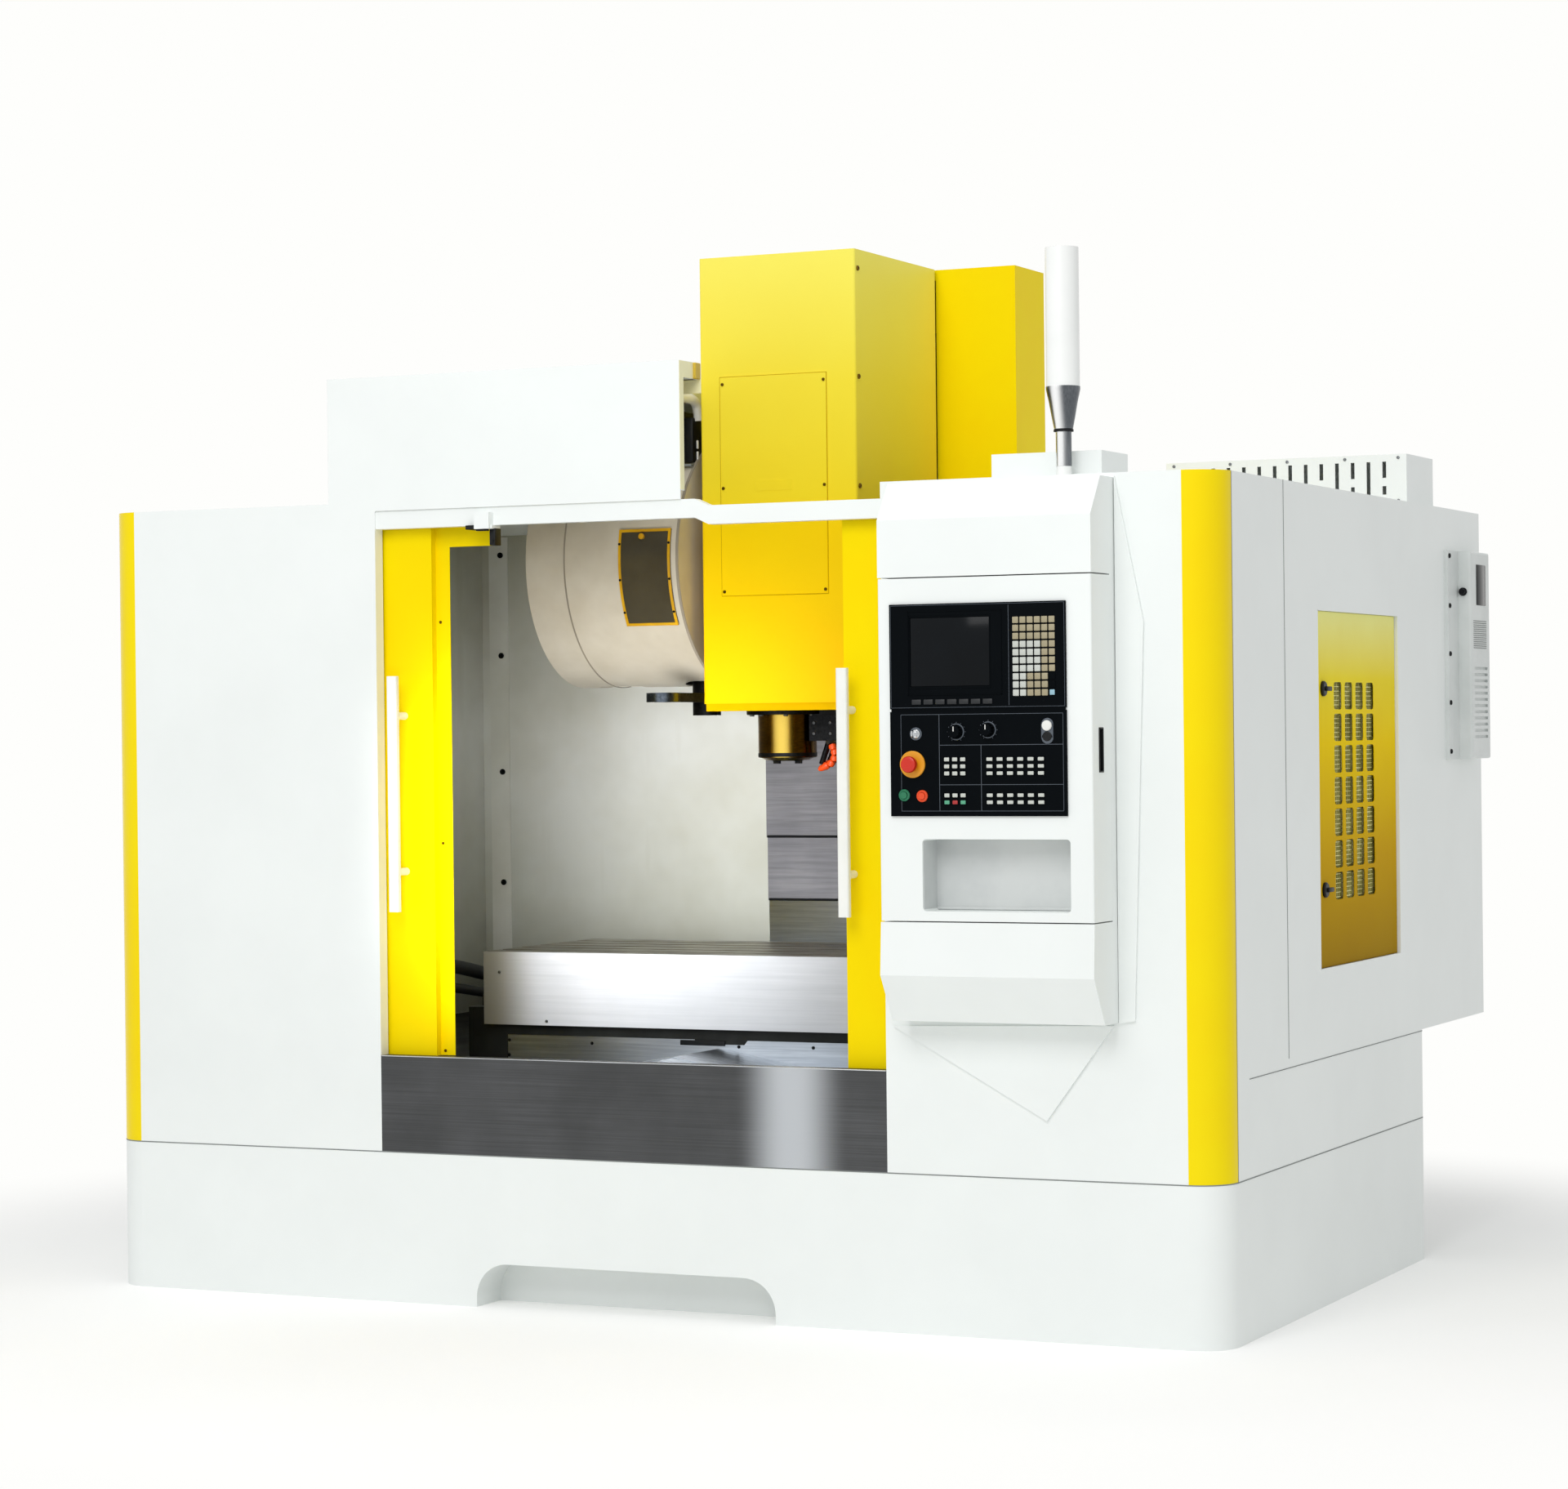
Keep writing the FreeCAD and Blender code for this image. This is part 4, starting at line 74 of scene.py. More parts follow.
def add(material, kind, sockets={}, **settings):
    """Adds a node, links its sockets to sockets or to other nodes' first outputs, or sets them."""
    step = material.node_tree.nodes.new("ShaderNode" + kind)
    for setting, value in settings.items():
        setattr(step, setting, value)
    for socket, value in sockets.items():
        value = value.outputs[0] if isinstance(value, bpy.types.Node) else value
        if isinstance(value, bpy.types.NodeSocket):
            material.node_tree.links.new(value, step.inputs[socket])
        else:
            step.inputs[socket].default_value = value
    return step


def seen_or_mirrored(material):
    """1 for rays from the camera, in gloss or through glass, and 0 for the rays that light things."""
    path = add(material, "LightPath")
    either = add(material, "Math", {0: path.outputs["Is Camera Ray"], 1: path.outputs["Is Glossy Ray"]},
        operation="MAXIMUM")
    return add(material, "Math", {0: either, 1: path.outputs["Is Transmission Ray"]}, operation="MAXIMUM")


world = bpy.data.worlds.new("studio")
world.use_nodes = True
world.node_tree.nodes.clear()
lighting = add(world, "Background", {"Color": linear("#FDFEFF"), "Strength": 0.6})
white_room = add(world, "Background", {"Color": linear("#FEFEFC"), "Strength": 1.0})
room = add(world, "MixShader", {0: seen_or_mirrored(world), 1: lighting, 2: white_room})
add(world, "OutputWorld", {"Surface": room})
bpy.context.scene.world = world
bpy.context.scene.view_settings.view_transform = "Standard"


def lamp(name, place, target, side, power, spread=180, mirrored=True):
    """A square soft lamp of a given side, turned to a point, with a spread in degrees. The camera doesn't
    see it, and gloss only where mirrored."""
    light = bpy.data.lights.new(name, "AREA")
    light.size = side
    light.energy = power
    light.spread = radians(spread)
    holder = bpy.data.objects.new(name, light)
    holder.location = place
    holder.rotation_euler = (Vector(target) - Vector(place)).to_track_quat("-Z", "Y").to_euler()
    holder.visible_camera = False
    holder.visible_glossy = mirrored
    bpy.context.scene.collection.objects.link(holder)


lamp("front_lamp", (1.1, -7.6, 5.9), (0, -0.5, 1.4), 4.0, 230)
lamp("top_lamp", (0.5, -2.5, 7.5), (0, 0.2, 0.8), 4.0, 60)
lamp("cabin_lamp", (-0.1, -1.45, 1.2), (-0.4, 0.7, 1.3), 0.7, 6.5, 64, mirrored=False)


# Floor --------------------
# Plain pale studio floor, painted matt. It keeps the machine's soft shadow and fades to white a few
# metres around it.
floor_paint = bpy.data.materials.new("pale studio floor")
floor_paint.use_nodes = True
floor_paint.node_tree.nodes.clear()
floor_place = add(floor_paint, "TexCoord").outputs["Object"]
spots = add(floor_paint, "TexNoise", {"Vector": floor_place, "Scale": 1.2, "Detail": 3.0})
pale = add(floor_paint, "Mix", {0: spots, 6: linear("#F6F6F4"), 7: linear("#FCFCFB")}, data_type="RGBA")
matt = add(floor_paint, "BsdfDiffuse", {"Color": pale.outputs[2]})
white_end = add(floor_paint, "Emission", {"Color": linear("#FEFEFC"), "Strength": 1.0})
glow = add(floor_paint, "Emission", {"Color": linear("#FEFEFC"), "Strength": 0.12})
lifted = add(floor_paint, "AddShader", {0: matt, 1: glow})
away = add(floor_paint, "VectorMath", {0: floor_place}, operation="LENGTH")
fade = add(floor_paint, "MapRange", {"Value": away.outputs["Value"], "From Min": 2.2, "From Max": 3.6},
    interpolation_type="SMOOTHSTEP")
faded = add(floor_paint, "MixShader", {0: fade, 1: lifted, 2: white_end})
floor_mix = add(floor_paint, "MixShader", {0: seen_or_mirrored(floor_paint), 1: matt, 2: faded})
add(floor_paint, "OutputMaterial", {"Surface": floor_mix})
floor_mesh = bmesh.new()
bmesh.ops.create_grid(floor_mesh, x_segments=1, y_segments=1, size=60)


def finished(name, mesh, material):
    """Turns a finished bmesh into an object with its material, smooth but for its sharp edges."""
    bmesh.ops.remove_doubles(mesh, verts=mesh.verts, dist=1e-6)
    bmesh.ops.recalc_face_normals(mesh, faces=mesh.faces)
    data = bpy.data.meshes.new(name)
    mesh.to_mesh(data)
    mesh.free()
    data.shade_smooth()
    data.set_sharp_from_angle(angle=radians(32))
    data.materials.append(material)
    thing = bpy.data.objects.new(name, data)
    bpy.context.scene.collection.objects.link(thing)
    return thing


finished("floor", floor_mesh, floor_paint)


# White cabin sheets -------
# Folded steel sheets, powder-coated white: base tray, front and side panels, roof, hood, crossbeam,
# console and cabinet. The coat has a fine orange-peel skin and the slightest cloudiness.
def paint_on(material, *nodes):
    """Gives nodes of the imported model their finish."""
    for node in nodes:
        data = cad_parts[node].data
        data.materials.clear()
        data.materials.append(material)


def object_place(material, stretch=(1, 1, 1)):
    """Object coordinates in metres, stretched along the axes."""
    place = add(material, "TexCoord")
    return add(material, "Mapping", {"Vector": place.outputs["Object"], "Scale": stretch})


def shaded(name):
    """A new material and its shader."""
    material = bpy.data.materials.new(name)
    material.use_nodes = True
    return material, material.node_tree.nodes["Principled BSDF"]


def surfaced(material, shader, tone, factor, first, last, bump=None):
    """Leads a colour, a roughness from first to last by a factor, and a bump to a shader."""
    rough = add(material, "MapRange", {"Value": factor, "To Min": first, "To Max": last})
    for source, socket in ((tone, "Base Color"), (rough.outputs[0], "Roughness")):
        material.node_tree.links.new(source, shader.inputs[socket])
    if bump:
        material.node_tree.links.new(bump.outputs[0], shader.inputs["Normal"])
    return material


def powder_coat(name, colour, shade, roughness=0.42, cloud=0.45, peel=0.0022, streaks=0.0, levels=(),
        gloss=0.5):
    """Powder coat: a colour that drifts to its shade over cloud metres, with a skin of peel metres.
    Streaks run down it; levels are (height in metres, colour) pairs, upwards, that it fades through."""
    material, shader = shaded(name)
    place = object_place(material)
    drift = add(material, "TexNoise", {"Vector": place, "Scale": 1 / cloud, "Detail": 4.0, "Roughness": 0.6})
    factor = add(material, "MapRange", {"Value": drift, "From Min": 0.35, "From Max": 0.68})
    if streaks:
        run = add(material, "TexNoise", {"Vector": object_place(material, (9, 9, 0.9)), "Scale": 1.0,
            "Detail": 4.0})
        ran = add(material, "MapRange", {"Value": run, "From Min": 0.5, "From Max": 0.8, "To Max": streaks})
        factor = add(material, "Math", {0: factor, 1: ran}, operation="MAXIMUM")
    tone = add(material, "Mix", {0: factor, 6: linear(colour), 7: linear(shade)}, data_type="RGBA").outputs[2]
    if levels:
        low, high = levels[0][0], levels[-1][0]
        height = add(material, "SeparateXYZ", {0: place}).outputs["Z"]
        risen = add(material, "MapRange", {"Value": height, "From Min": low, "From Max": high})
        faded = add(material, "ValToRGB", {0: risen})
        stops = faded.color_ramp.elements
        for step, (level, level_colour) in enumerate(levels):
            if 0 < step < len(levels) - 1:
                stop = stops.new((level - low) / (high - low))
            else:
                stop = stops[0 if step == 0 else -1]
            stop.color = linear(level_colour)
        tone = add(material, "Mix", {0: 1.0, 6: faded, 7: tone}, data_type="RGBA",
            blend_type="MULTIPLY").outputs[2]
    skin = add(material, "TexNoise", {"Vector": place, "Scale": 1 / peel, "Detail": 2.0})
    bump = add(material, "Bump", {"Height": skin, "Strength": 0.12, "Distance": 0.0003})
    shader.inputs["Specular IOR Level"].default_value = gloss
    return surfaced(material, shader, tone, skin, roughness - 0.05, roughness + 0.06, bump)


# White powder coat of the outer sheets, faintly cool.
white_coat = powder_coat("white powder coat", "#F6FAF8", "#F2F6F4")
paint_on(white_coat, "base_tray", "front_panel_left", "front_panel_right", "side_panel_left",
    "side_panel_right", "roof_panels", "magazine_hood", "crossbeam", "console_housing", "console_door",
    "electrical_cabinet", "vent_box")


# Panel joints -------------
# Narrow gaps between base tray, panels and side sheets, filled with a grey rubber sealing strip that
# stands a hair proud of the sheets.
def moulded(name, colour, shade, roughness=0.4, grain=0.0008, gloss=0.5):
    """Moulded plastic or rubber: a fine even grain and a slight drift of colour."""
    material, shader = shaded(name)
    place = object_place(material)
    fine = add(material, "TexNoise", {"Vector": place, "Scale": 1 / grain, "Detail": 2.0})
    drift = add(material, "TexNoise", {"Vector": place, "Scale": 12.0, "Detail": 2.0})
    tone = add(material, "Mix", {0: drift, 6: linear(colour), 7: linear(shade)}, data_type="RGBA")
    bump = add(material, "Bump", {"Height": fine, "Strength": 0.15, "Distance": 0.0001})
    shader.inputs["Specular IOR Level"].default_value = gloss
    return surfaced(material, shader, tone.outputs[2], fine, roughness - 0.06, roughness + 0.06, bump)


def cuboid(mesh, low, high, edge=0.4, steps=1):
    """Adds a block between two corners in millimetres, all its edges eased."""
    low, high = Vector(low) / 1000, Vector(high) / 1000
    made = bmesh.ops.create_cube(mesh, size=1,
        matrix=Matrix.Translation((low + high) / 2) @ Matrix.Diagonal((*(high - low), 1)))
    if edge:
        bmesh.ops.bevel(mesh, geom=list({line for corner in made["verts"] for line in corner.link_edges}),
            offset=edge / 1000, affect="EDGES", segments=steps, profile=0.5, material=-1)


def turned(mesh, centre, axis, outline, steps=32, sweep=360, outward=None):
    """Adds an outline of (radius, height) points in millimetres, turned round an axis through a centre."""
    axis, centre = Vector(axis).normalized(), Vector(centre) / 1000
    outward = Vector(outward).normalized() if outward else axis.orthogonal().normalized()
    corners = [mesh.verts.new(centre + (outward * radius + axis * height) / 1000) for radius, height in outline]
    lines = [mesh.edges.new(pair) for pair in zip(corners, corners[1:])]
    if sweep < 360:
        lines.append(mesh.edges.new((corners[-1], corners[0])))
    bmesh.ops.spin(mesh, geom=corners + lines, cent=centre, axis=axis, angle=radians(sweep), steps=steps,
        use_merge=sweep == 360)
    if sweep < 360:
        bmesh.ops.holes_fill(mesh, edges=[line for line in mesh.edges if line.is_boundary])


def ridden(name, mesh, material, body="frame"):
    """A finished piece with its material that moves with a body."""
    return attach(finished(name, mesh, material), body)


to_front, to_left, to_right, to_roof, to_floor = (0, -1, 0), (-1, 0, 0), (1, 0, 0), (0, 0, 1), (0, 0, -1)
seal_rubber = moulded("grey sealing strip", "#8C918F", "#7A7F7D", roughness=0.6)
joints = bmesh.new()
cuboid(joints, (-1506, -980.7, 395.4), (1506, -978, 398.4), 0.2)
for side in (-1, 1):
    cuboid(joints, (side * 1600.3 - 0.6, -886, 395.4), (side * 1600.3 + 0.6, 749, 398.4), 0.2)
    cuboid(joints, (side * 1600.3 - 0.6, -886, 396), (side * 1600.3 + 0.6, -884, 2116), 0.2)
    turned(joints, (side * 1506, -886, 396.9), (0, 0, side), [(93, -1.5), (94.7, -1.5), (94.7, 1.5), (93, 1.5)],
        sweep=90, outward=to_front, steps=12)
cuboid(joints, (1599.4, -476, 663), (1600.9, -473.6, 2116), 0.2)
cuboid(joints, (1599.4, -792, 638), (1600.9, 750, 640.4), 0.2)
cuboid(joints, (-1600.9, -476, 663), (-1599.4, -473.6, 2116), 0.2)
ridden("panel_joints", joints, seal_rubber)


# Castings -----------------
# Bed, column, saddle, head and changer body: grey iron, filled and enamelled in a grey green, with the
# pebbled skin of the filler and oil-darkened hollows.
casting_enamel = powder_coat("grey-green casting enamel", "#8D978E", "#717B72", roughness=0.5, cloud=0.16,
    peel=0.006)
paint_on(casting_enamel, "bed_casting", "column_casting", "head_casting", "tool_changer_body")
# The saddle under the table is enamelled nearly black, painted shade of the gap under the table.
paint_on(powder_coat("saddle enamel with painted shade", "#262826", "#191A19", roughness=0.45, cloud=0.1, peel=0.006,
    gloss=0.2), "saddle")


# Rails and steel parts ----
# Guide rails are ground and hardened, feet and drives are blackened or plain machine steel. The
# grinding leaves fine lines along the work.
def worked_steel(name, colour, shade, roughness, grain, cloud=0.3, depth=0.00006, painted_reflection=None, metal=1.0):
    """Steel with lines of grain (metres per line along x, y, z) and a cloudy polish. The second-last argument
    is the colour, middle and half width, along X in metres, of one upright stretch of painted reflection,
    light or dark. Dull oxide lowers metal."""
    material, shader = shaded(name)
    lines = add(material, "TexNoise", {"Vector": object_place(material, [1 / each for each in grain]),
        "Scale": 1.0, "Detail": 3.0, "Roughness": 0.7})
    clouds = add(material, "TexNoise", {"Vector": object_place(material), "Scale": 1 / cloud, "Detail": 4.0})
    both = add(material, "Math", {0: lines, 1: clouds}, operation="MULTIPLY")
    spread = add(material, "MapRange", {"Value": both, "From Min": 0.12, "From Max": 0.42})
    tone = add(material, "Mix", {0: spread, 6: linear(shade), 7: linear(colour)}, data_type="RGBA").outputs[2]
    if painted_reflection:
        across = add(material, "SeparateXYZ", {0: object_place(material)}).outputs["X"]
        off = add(material, "Math", {0: across, 1: painted_reflection[1]}, operation="SUBTRACT")
        far = add(material, "Math", {0: off}, operation="ABSOLUTE")
        near = add(material, "MapRange", {"Value": far, "From Min": painted_reflection[2], "From Max": 0.0},
            interpolation_type="SMOOTHERSTEP")
        tone = add(material, "Mix", {0: near, 6: tone, 7: linear(painted_reflection[0])}, data_type="RGBA").outputs[2]
    bump = add(material, "Bump", {"Height": lines, "Strength": 0.25, "Distance": depth})
    shader.inputs["Metallic"].default_value = metal
    return surfaced(material, shader, tone, both, roughness + 0.08, roughness - 0.08, bump)


# Ground guide rails, drawn along their length.
rail_steel = worked_steel("ground rail steel", "#C9CCCE", "#9EA2A6", 0.28, (0.003, 0.2, 0.2))
paint_on(rail_steel, "guide_rails")
# Blackened steel of the levelling feet and of small dark fittings.
black_steel = worked_steel("blackened steel", "#3A3B3D", "#222325", 0.45, (0.01, 0.01, 0.01))
paint_on(black_steel, "levelling_feet")
# Screws, motors and bearing blocks of the drives.
drive_steel = worked_steel("turned drive steel", "#9A9DA0", "#5E6164", 0.35, (0.004, 0.02, 0.02))
paint_on(drive_steel, "axis_drives")


# Corner columns -----------
# Quarter-round steel sheets at the two front corners, powder-coated in a glossy yellow. The cover of
# the column behind the head has the plainer yellow coat, which the doors have too.
yellow_coat = powder_coat("yellow powder coat", "#FFE500", "#FFDE00", roughness=0.4, gloss=0.06)
paint_on(powder_coat("glossy yellow corner coat", "#FFE500", "#FFDE00", roughness=0.22, gloss=0.14),
    "corner_trims")
paint_on(yellow_coat, "column_cover")


# Front sill ---------------
# Folded stainless sheet under the doorway, brushed along its length, with one upright stretch of
# painted highlight in it. A strip of lighter steel along its upper edge paints the highlight on its fold.
def piece(name, shape, rows, material, body="frame"):
    """A piece of one kind of shape, each row being what the shape's function takes."""
    mesh = bmesh.new()
    for row in rows:
        shape(mesh, *row)
    return ridden(name, mesh, material, body)


sill_steel = worked_steel("brushed sill steel", "#5C5D5F", "#4B4C4D", 0.42, (0.5, 0.004, 0.004), cloud=0.22,
    painted_reflection=("#BFC3C8", 0.455, 0.17))
paint_on(sill_steel, "front_sill")
sill_low, sill_high = (1000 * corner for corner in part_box("front_sill"))
piece("sill_fold", cuboid, [((sill_low.x + 1, sill_low.y - 0.3, sill_high.z - 2.6),
    (sill_high.x - 1, sill_low.y + 3, sill_high.z + 0.3), 1.2, 2)],
    worked_steel("fold steel with painted highlight", "#D9DCDF", "#B4B8BC", 0.35, (0.5, 0.01, 0.01)))


# Crossbeam switch ---------
# Black moulded door switch with a round head in its face, under the beam, and the two flat black
# fittings beside it that hold it there.
black_plastic = moulded("black housing plastic", "#131517", "#0E1012", roughness=0.45, gloss=0.25)
switch = bmesh.new()
cuboid(switch, (-397.5, -976.5, 1992), (-380.5, -943.5, 2037), 2, 2)
cuboid(switch, (-461, -991, 2034.5), (-431, -944, 2046), 1.5, 2)
cuboid(switch, (-429, -992, 2030), (-398, -975.5, 2034.6), 1, 2)
turned(switch, (-389, -976.5, 2004), to_front, [(0, 0), (5, 0), (5, 3), (3.6, 4.4), (0, 4.4)], steps=20)
ridden("door_switch", switch, black_plastic)


# Work room lining ---------
# Cream-grey painted sheet walls, stained by coolant that ran down and dried, with a screwed cover
# strip over the joint in the left-hand corner. Their tone is darker towards the foot of the walls and,
# as painted shade under the roof, towards their top. The chip pans below them are bare steel.
lining_coat = powder_coat("stained and shaded lining paint", "#F6F7F5", "#DCDBD1", roughness=0.5, cloud=0.6, streaks=0.7,
    levels=((0.65, "#B4B6AC"), (1.0, "#DADCD6"), (1.5, "#F4F5F3"), (2.1, "#C6C5B8")))
paint_on(lining_coat, "inner_walls")
# The chip pans lie in the shade under the table, bare steel darkened by oil and swarf.
paint_on(worked_steel("oily pan steel", "#4A4A48", "#2B2B2A", 0.5, (0.02, 0.3, 0.02), cloud=0.2), "chip_pans")


def screw(mesh, place, outward, radius=4.5):
    """Adds a socket screw's head at a place in millimetres."""
    turned(mesh, place, outward, [(0, -0.5), (radius, -0.5), (radius, 0.45 * radius),
        (0.8 * radius, 0.62 * radius), (0.5 * radius, 0.62 * radius), (0.5 * radius, 0.2 * radius),
        (0, 0.2 * radius)], steps=14)


piece("corner_strip", cuboid, [((-1349, 704.4, 652), (-1282, 707.4, 2108), 0.6)],
    powder_coat("strip coat", "#E2E3DC", "#D3D3C8", cloud=0.3))
screw_steel = worked_steel("black oxide screws", "#2E2F31", "#1B1C1E", 0.4, (0.002, 0.002, 0.002), cloud=0.02)
piece("strip_screws", screw, [*(((-1307, 704.4, height), to_front, 9)
    for height in (800, 1037, 1380, 1741, 2053)), *(((1307, 706.6, height), to_front, 9) for height in (1180,
    1500, 1820))], screw_steel)


# Coolant hoses ------------
# Two black rubber hoses between fittings on the left-hand wall and the back wall, behind the table's
# way, with hexagon nuts at their ends.
def hose(name, points, radius, material, body="frame"):
    """A hose of a radius along points, both in millimetres."""
    line = bpy.data.curves.new(name, "CURVE")
    line.dimensions = "3D"
    route = line.splines.new("NURBS")
    route.points.add(len(points) - 1)
    for place, point in zip(points, route.points):
        point.co = (*(Vector(place) / 1000), 1)
    route.order_u = 3
    route.use_endpoint_u = True
    route.resolution_u = 10
    line.bevel_depth = radius / 1000
    line.bevel_resolution = 5
    line.use_fill_caps = True
    line.materials.append(material)
    thing = bpy.data.objects.new(name, line)
    bpy.context.scene.collection.objects.link(thing)
    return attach(thing, body)


hose_rubber = moulded("black hose rubber", "#26282A", "#1C1E20", roughness=0.55, grain=0.0015)
hose("coolant_hose_upper", [(-1372, 210, 812), (-1330, 215, 812), (-1300, 300, 806), (-1292, 430, 786),
    (-1290, 560, 760), (-1290, 650, 756), (-1290, 704, 756)], 21, hose_rubber)
hose("coolant_hose_lower", [(-1372, 330, 740), (-1325, 335, 738), (-1285, 400, 726), (-1250, 520, 704),
    (-1240, 620, 700), (-1240, 704, 700)], 15, hose_rubber)
hose_nuts = bmesh.new()
for place, axis, radius in (((-1375, 210, 812), to_right, 30), ((-1375, 330, 740), to_right, 23),
        ((-1290, 707, 756), to_front, 30), ((-1240, 707, 700), to_front, 23)):
    turned(hose_nuts, place, axis, [(0, 0), (radius, 0), (radius + 1, 2), (radius + 1, 15), (radius, 17),
        (radius - 6, 17), (radius - 7, 26), (0, 26)], steps=6)
ridden("hose_nuts", hose_nuts, drive_steel)


# Table --------------------
# Ground iron table with five T-slots, browned a little by coolant, between bright stainless guards that
# are screwed on through their upper and lower edges. The guards' left end is darkened by a painted reflection.
table_iron = worked_steel("ground table iron", "#A59F90", "#6E685A", 0.34, (0.25, 0.002, 0.02), cloud=0.12)
paint_on(table_iron, "table")
guard_sheet_with_painted_reflection = worked_steel("stainless guard sheet with painted reflection", "#D3D5D9", "#BFC2C6", 0.5, (0.6, 0.02, 0.01), cloud=0.3,
    painted_reflection=("#7F7C70", -0.69, 0.2), metal=0.25)
paint_on(guard_sheet_with_painted_reflection, "table_guard")
piece("guard_screws", screw, [((across, depth, height), (0, way, 0), 4)
    for across, height in ((-649, 844), (-503, 712), (640, 844), (640, 712)) for depth, way in ((-502, -1),
    (142, 1))], drive_steel, "table")


# Way covers ---------------
# Telescopic covers of stainless sheet: bright gabled ones over the bed, greyer flat ones on the
# column. Each plate of the column's cover ends in a black wiper lip, and the apron is screwed on.
cover_sheet = worked_steel("way cover sheet", "#EAF0F7", "#B0B8C2", 0.28, (0.3, 0.02, 0.01), cloud=0.4)
paint_on(cover_sheet, "y_cover_rear", "y_cover_middle", "fixed_way_covers")
tower_sheet = worked_steel("dull column sheet", "#8E8E93", "#6E6E74", 0.5, (0.3, 0.02, 0.01), cloud=0.25,
    metal=0.3)
paint_on(tower_sheet, "z_cover_upper", "z_cover_middle")
for node, body in (("z_cover_upper", "head"), ("z_cover_middle", "z_cover")):
    low, high = (1000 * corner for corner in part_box(node))
    piece(node + "_wiper", cuboid, [((low.x + 2, low.y - 1.2, low.z - 0.5), (high.x - 2, low.y + 1, low.z + 7),
        0.8)], black_plastic, body)
piece("apron_screws", screw, [((across, -446.8, height), to_front) for across, height in ((-650, 653),
    (-651, 612), (-392, 650), (54, 651), (274, 654), (500, 653), (650, 653), (651, 612))], screw_steel,
    "saddle")
piece("apron_block", cuboid, [((-122, -449.5, 652), (13, -446, 666), 1.5, 2)], black_plastic,
    "saddle")


# Head cover ---------------
# Yellow powder-coated sheet cover over the head, with a screwed-on service plate in its front, four
# screws down each side and a lip, set back, under its foot. The yellow is painted darker towards the
# cover's foot and paler towards its top, as painted shade and light, and the lip's darker amber yellow
# is painted shade under the cover.
head_coat_with_painted_light = powder_coat("yellow head coat with painted light and shade", "#FFFFFF", "#FFFAF0", roughness=0.4, cloud=0.7, gloss=0.08,
    levels=((1.58, "#EDB800"), (1.8, "#F5CB04"), (2.06, "#FFDA0A"), (2.14, "#FFE62C"), (2.45, "#FFEC42"),
    (2.81, "#FFF468")))
paint_on(head_coat_with_painted_light, "head_cover")
piece("head_plate_gap", cuboid, [((-112, -180.6, 1872), (214, -179, 2479), 0.3)],
    powder_coat("shaded yellow edge", "#CBA400", "#BC9700", gloss=0.02), "head")
piece("head_service_plate", cuboid, [((-110, -182.4, 1874), (212, -179, 2477), 0.8),
    ((-4, -183, 2160), (106, -181, 2190), 0.6)], head_coat_with_painted_light, "head")
head_low, head_high = (1000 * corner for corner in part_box("head_cover"))
piece("head_foot_lip", cuboid, [((head_low.x + 5, head_low.y + 6, head_low.z - 21),
    (head_high.x - 5, head_low.y + 9, head_low.z + 4), 1), ((head_high.x - 8, head_low.y + 9, head_low.z - 21),
    (head_high.x - 5, head_high.y - 20, head_low.z + 4), 1)], powder_coat("yellow foot lip coat with painted shade", "#D9AC00",
    "#C49A00", gloss=0.02), "head")
plate_screws = bmesh.new()
for across in (-102, 205):
    for height in (1885, 2171, 2458):
        screw(plate_screws, (across, -182.2, height), to_front)
for height in (1750, 2165, 2463, 2758):
    screw(plate_screws, (300, -160, height), to_right, 7)
    screw(plate_screws, (-172, -160, height), to_left, 7)
browned_screw = worked_steel("browned screws", "#8A6A1C", "#5E4610", 0.4, (0.002, 0.002, 0.002), cloud=0.02)
ridden("head_screws", plate_screws, browned_screw, "head")


# Spindle ------------------
# Blackened flange with a ring of screws, a polished sleeve whose golden tint and one upright highlight
# are painted reflection of the yellow cover and of a lamp, and the black spindle nose with its two
# driving keys and a chamfered end ring.
sleeve_steel_with_painted_reflection = worked_steel("golden sleeve steel with painted reflection", "#9C6E1C", "#4E370C", 0.2, (0.02, 0.02, 0.002),
    cloud=0.1, painted_reflection=("#FFDA66", 0.018, 0.042))
paint_on(sleeve_steel_with_painted_reflection, "spindle_housing")
paint_on(black_steel, "spindle", "spindle_motor")
piece("spindle_flange", turned, [((0, 0, 1544), to_roof, [(83, 0), (112, 0), (114, 2), (114, 45), (112, 47),
    (100, 47), (83, 2), (83, 0)], 64), ((0, 0, 1424.4), to_roof, [(56, 0), (80, 0), (82.8, 3), (82.8, 12),
    (82.2, 13), (56, 1), (56, 0)], 64)], black_steel, "head")
flange_screws = bmesh.new()
for step in range(8):
    angle = radians(22.5 + 45 * step)
    screw(flange_screws, (99 * cos(angle), 99 * sin(angle), 1544), to_floor, 7)
for step in range(6):
    angle = radians(60 * step)
    screw(flange_screws, (69 * cos(angle), 69 * sin(angle), 1424.4), to_floor)
ridden("flange_screws", flange_screws, drive_steel, "head")


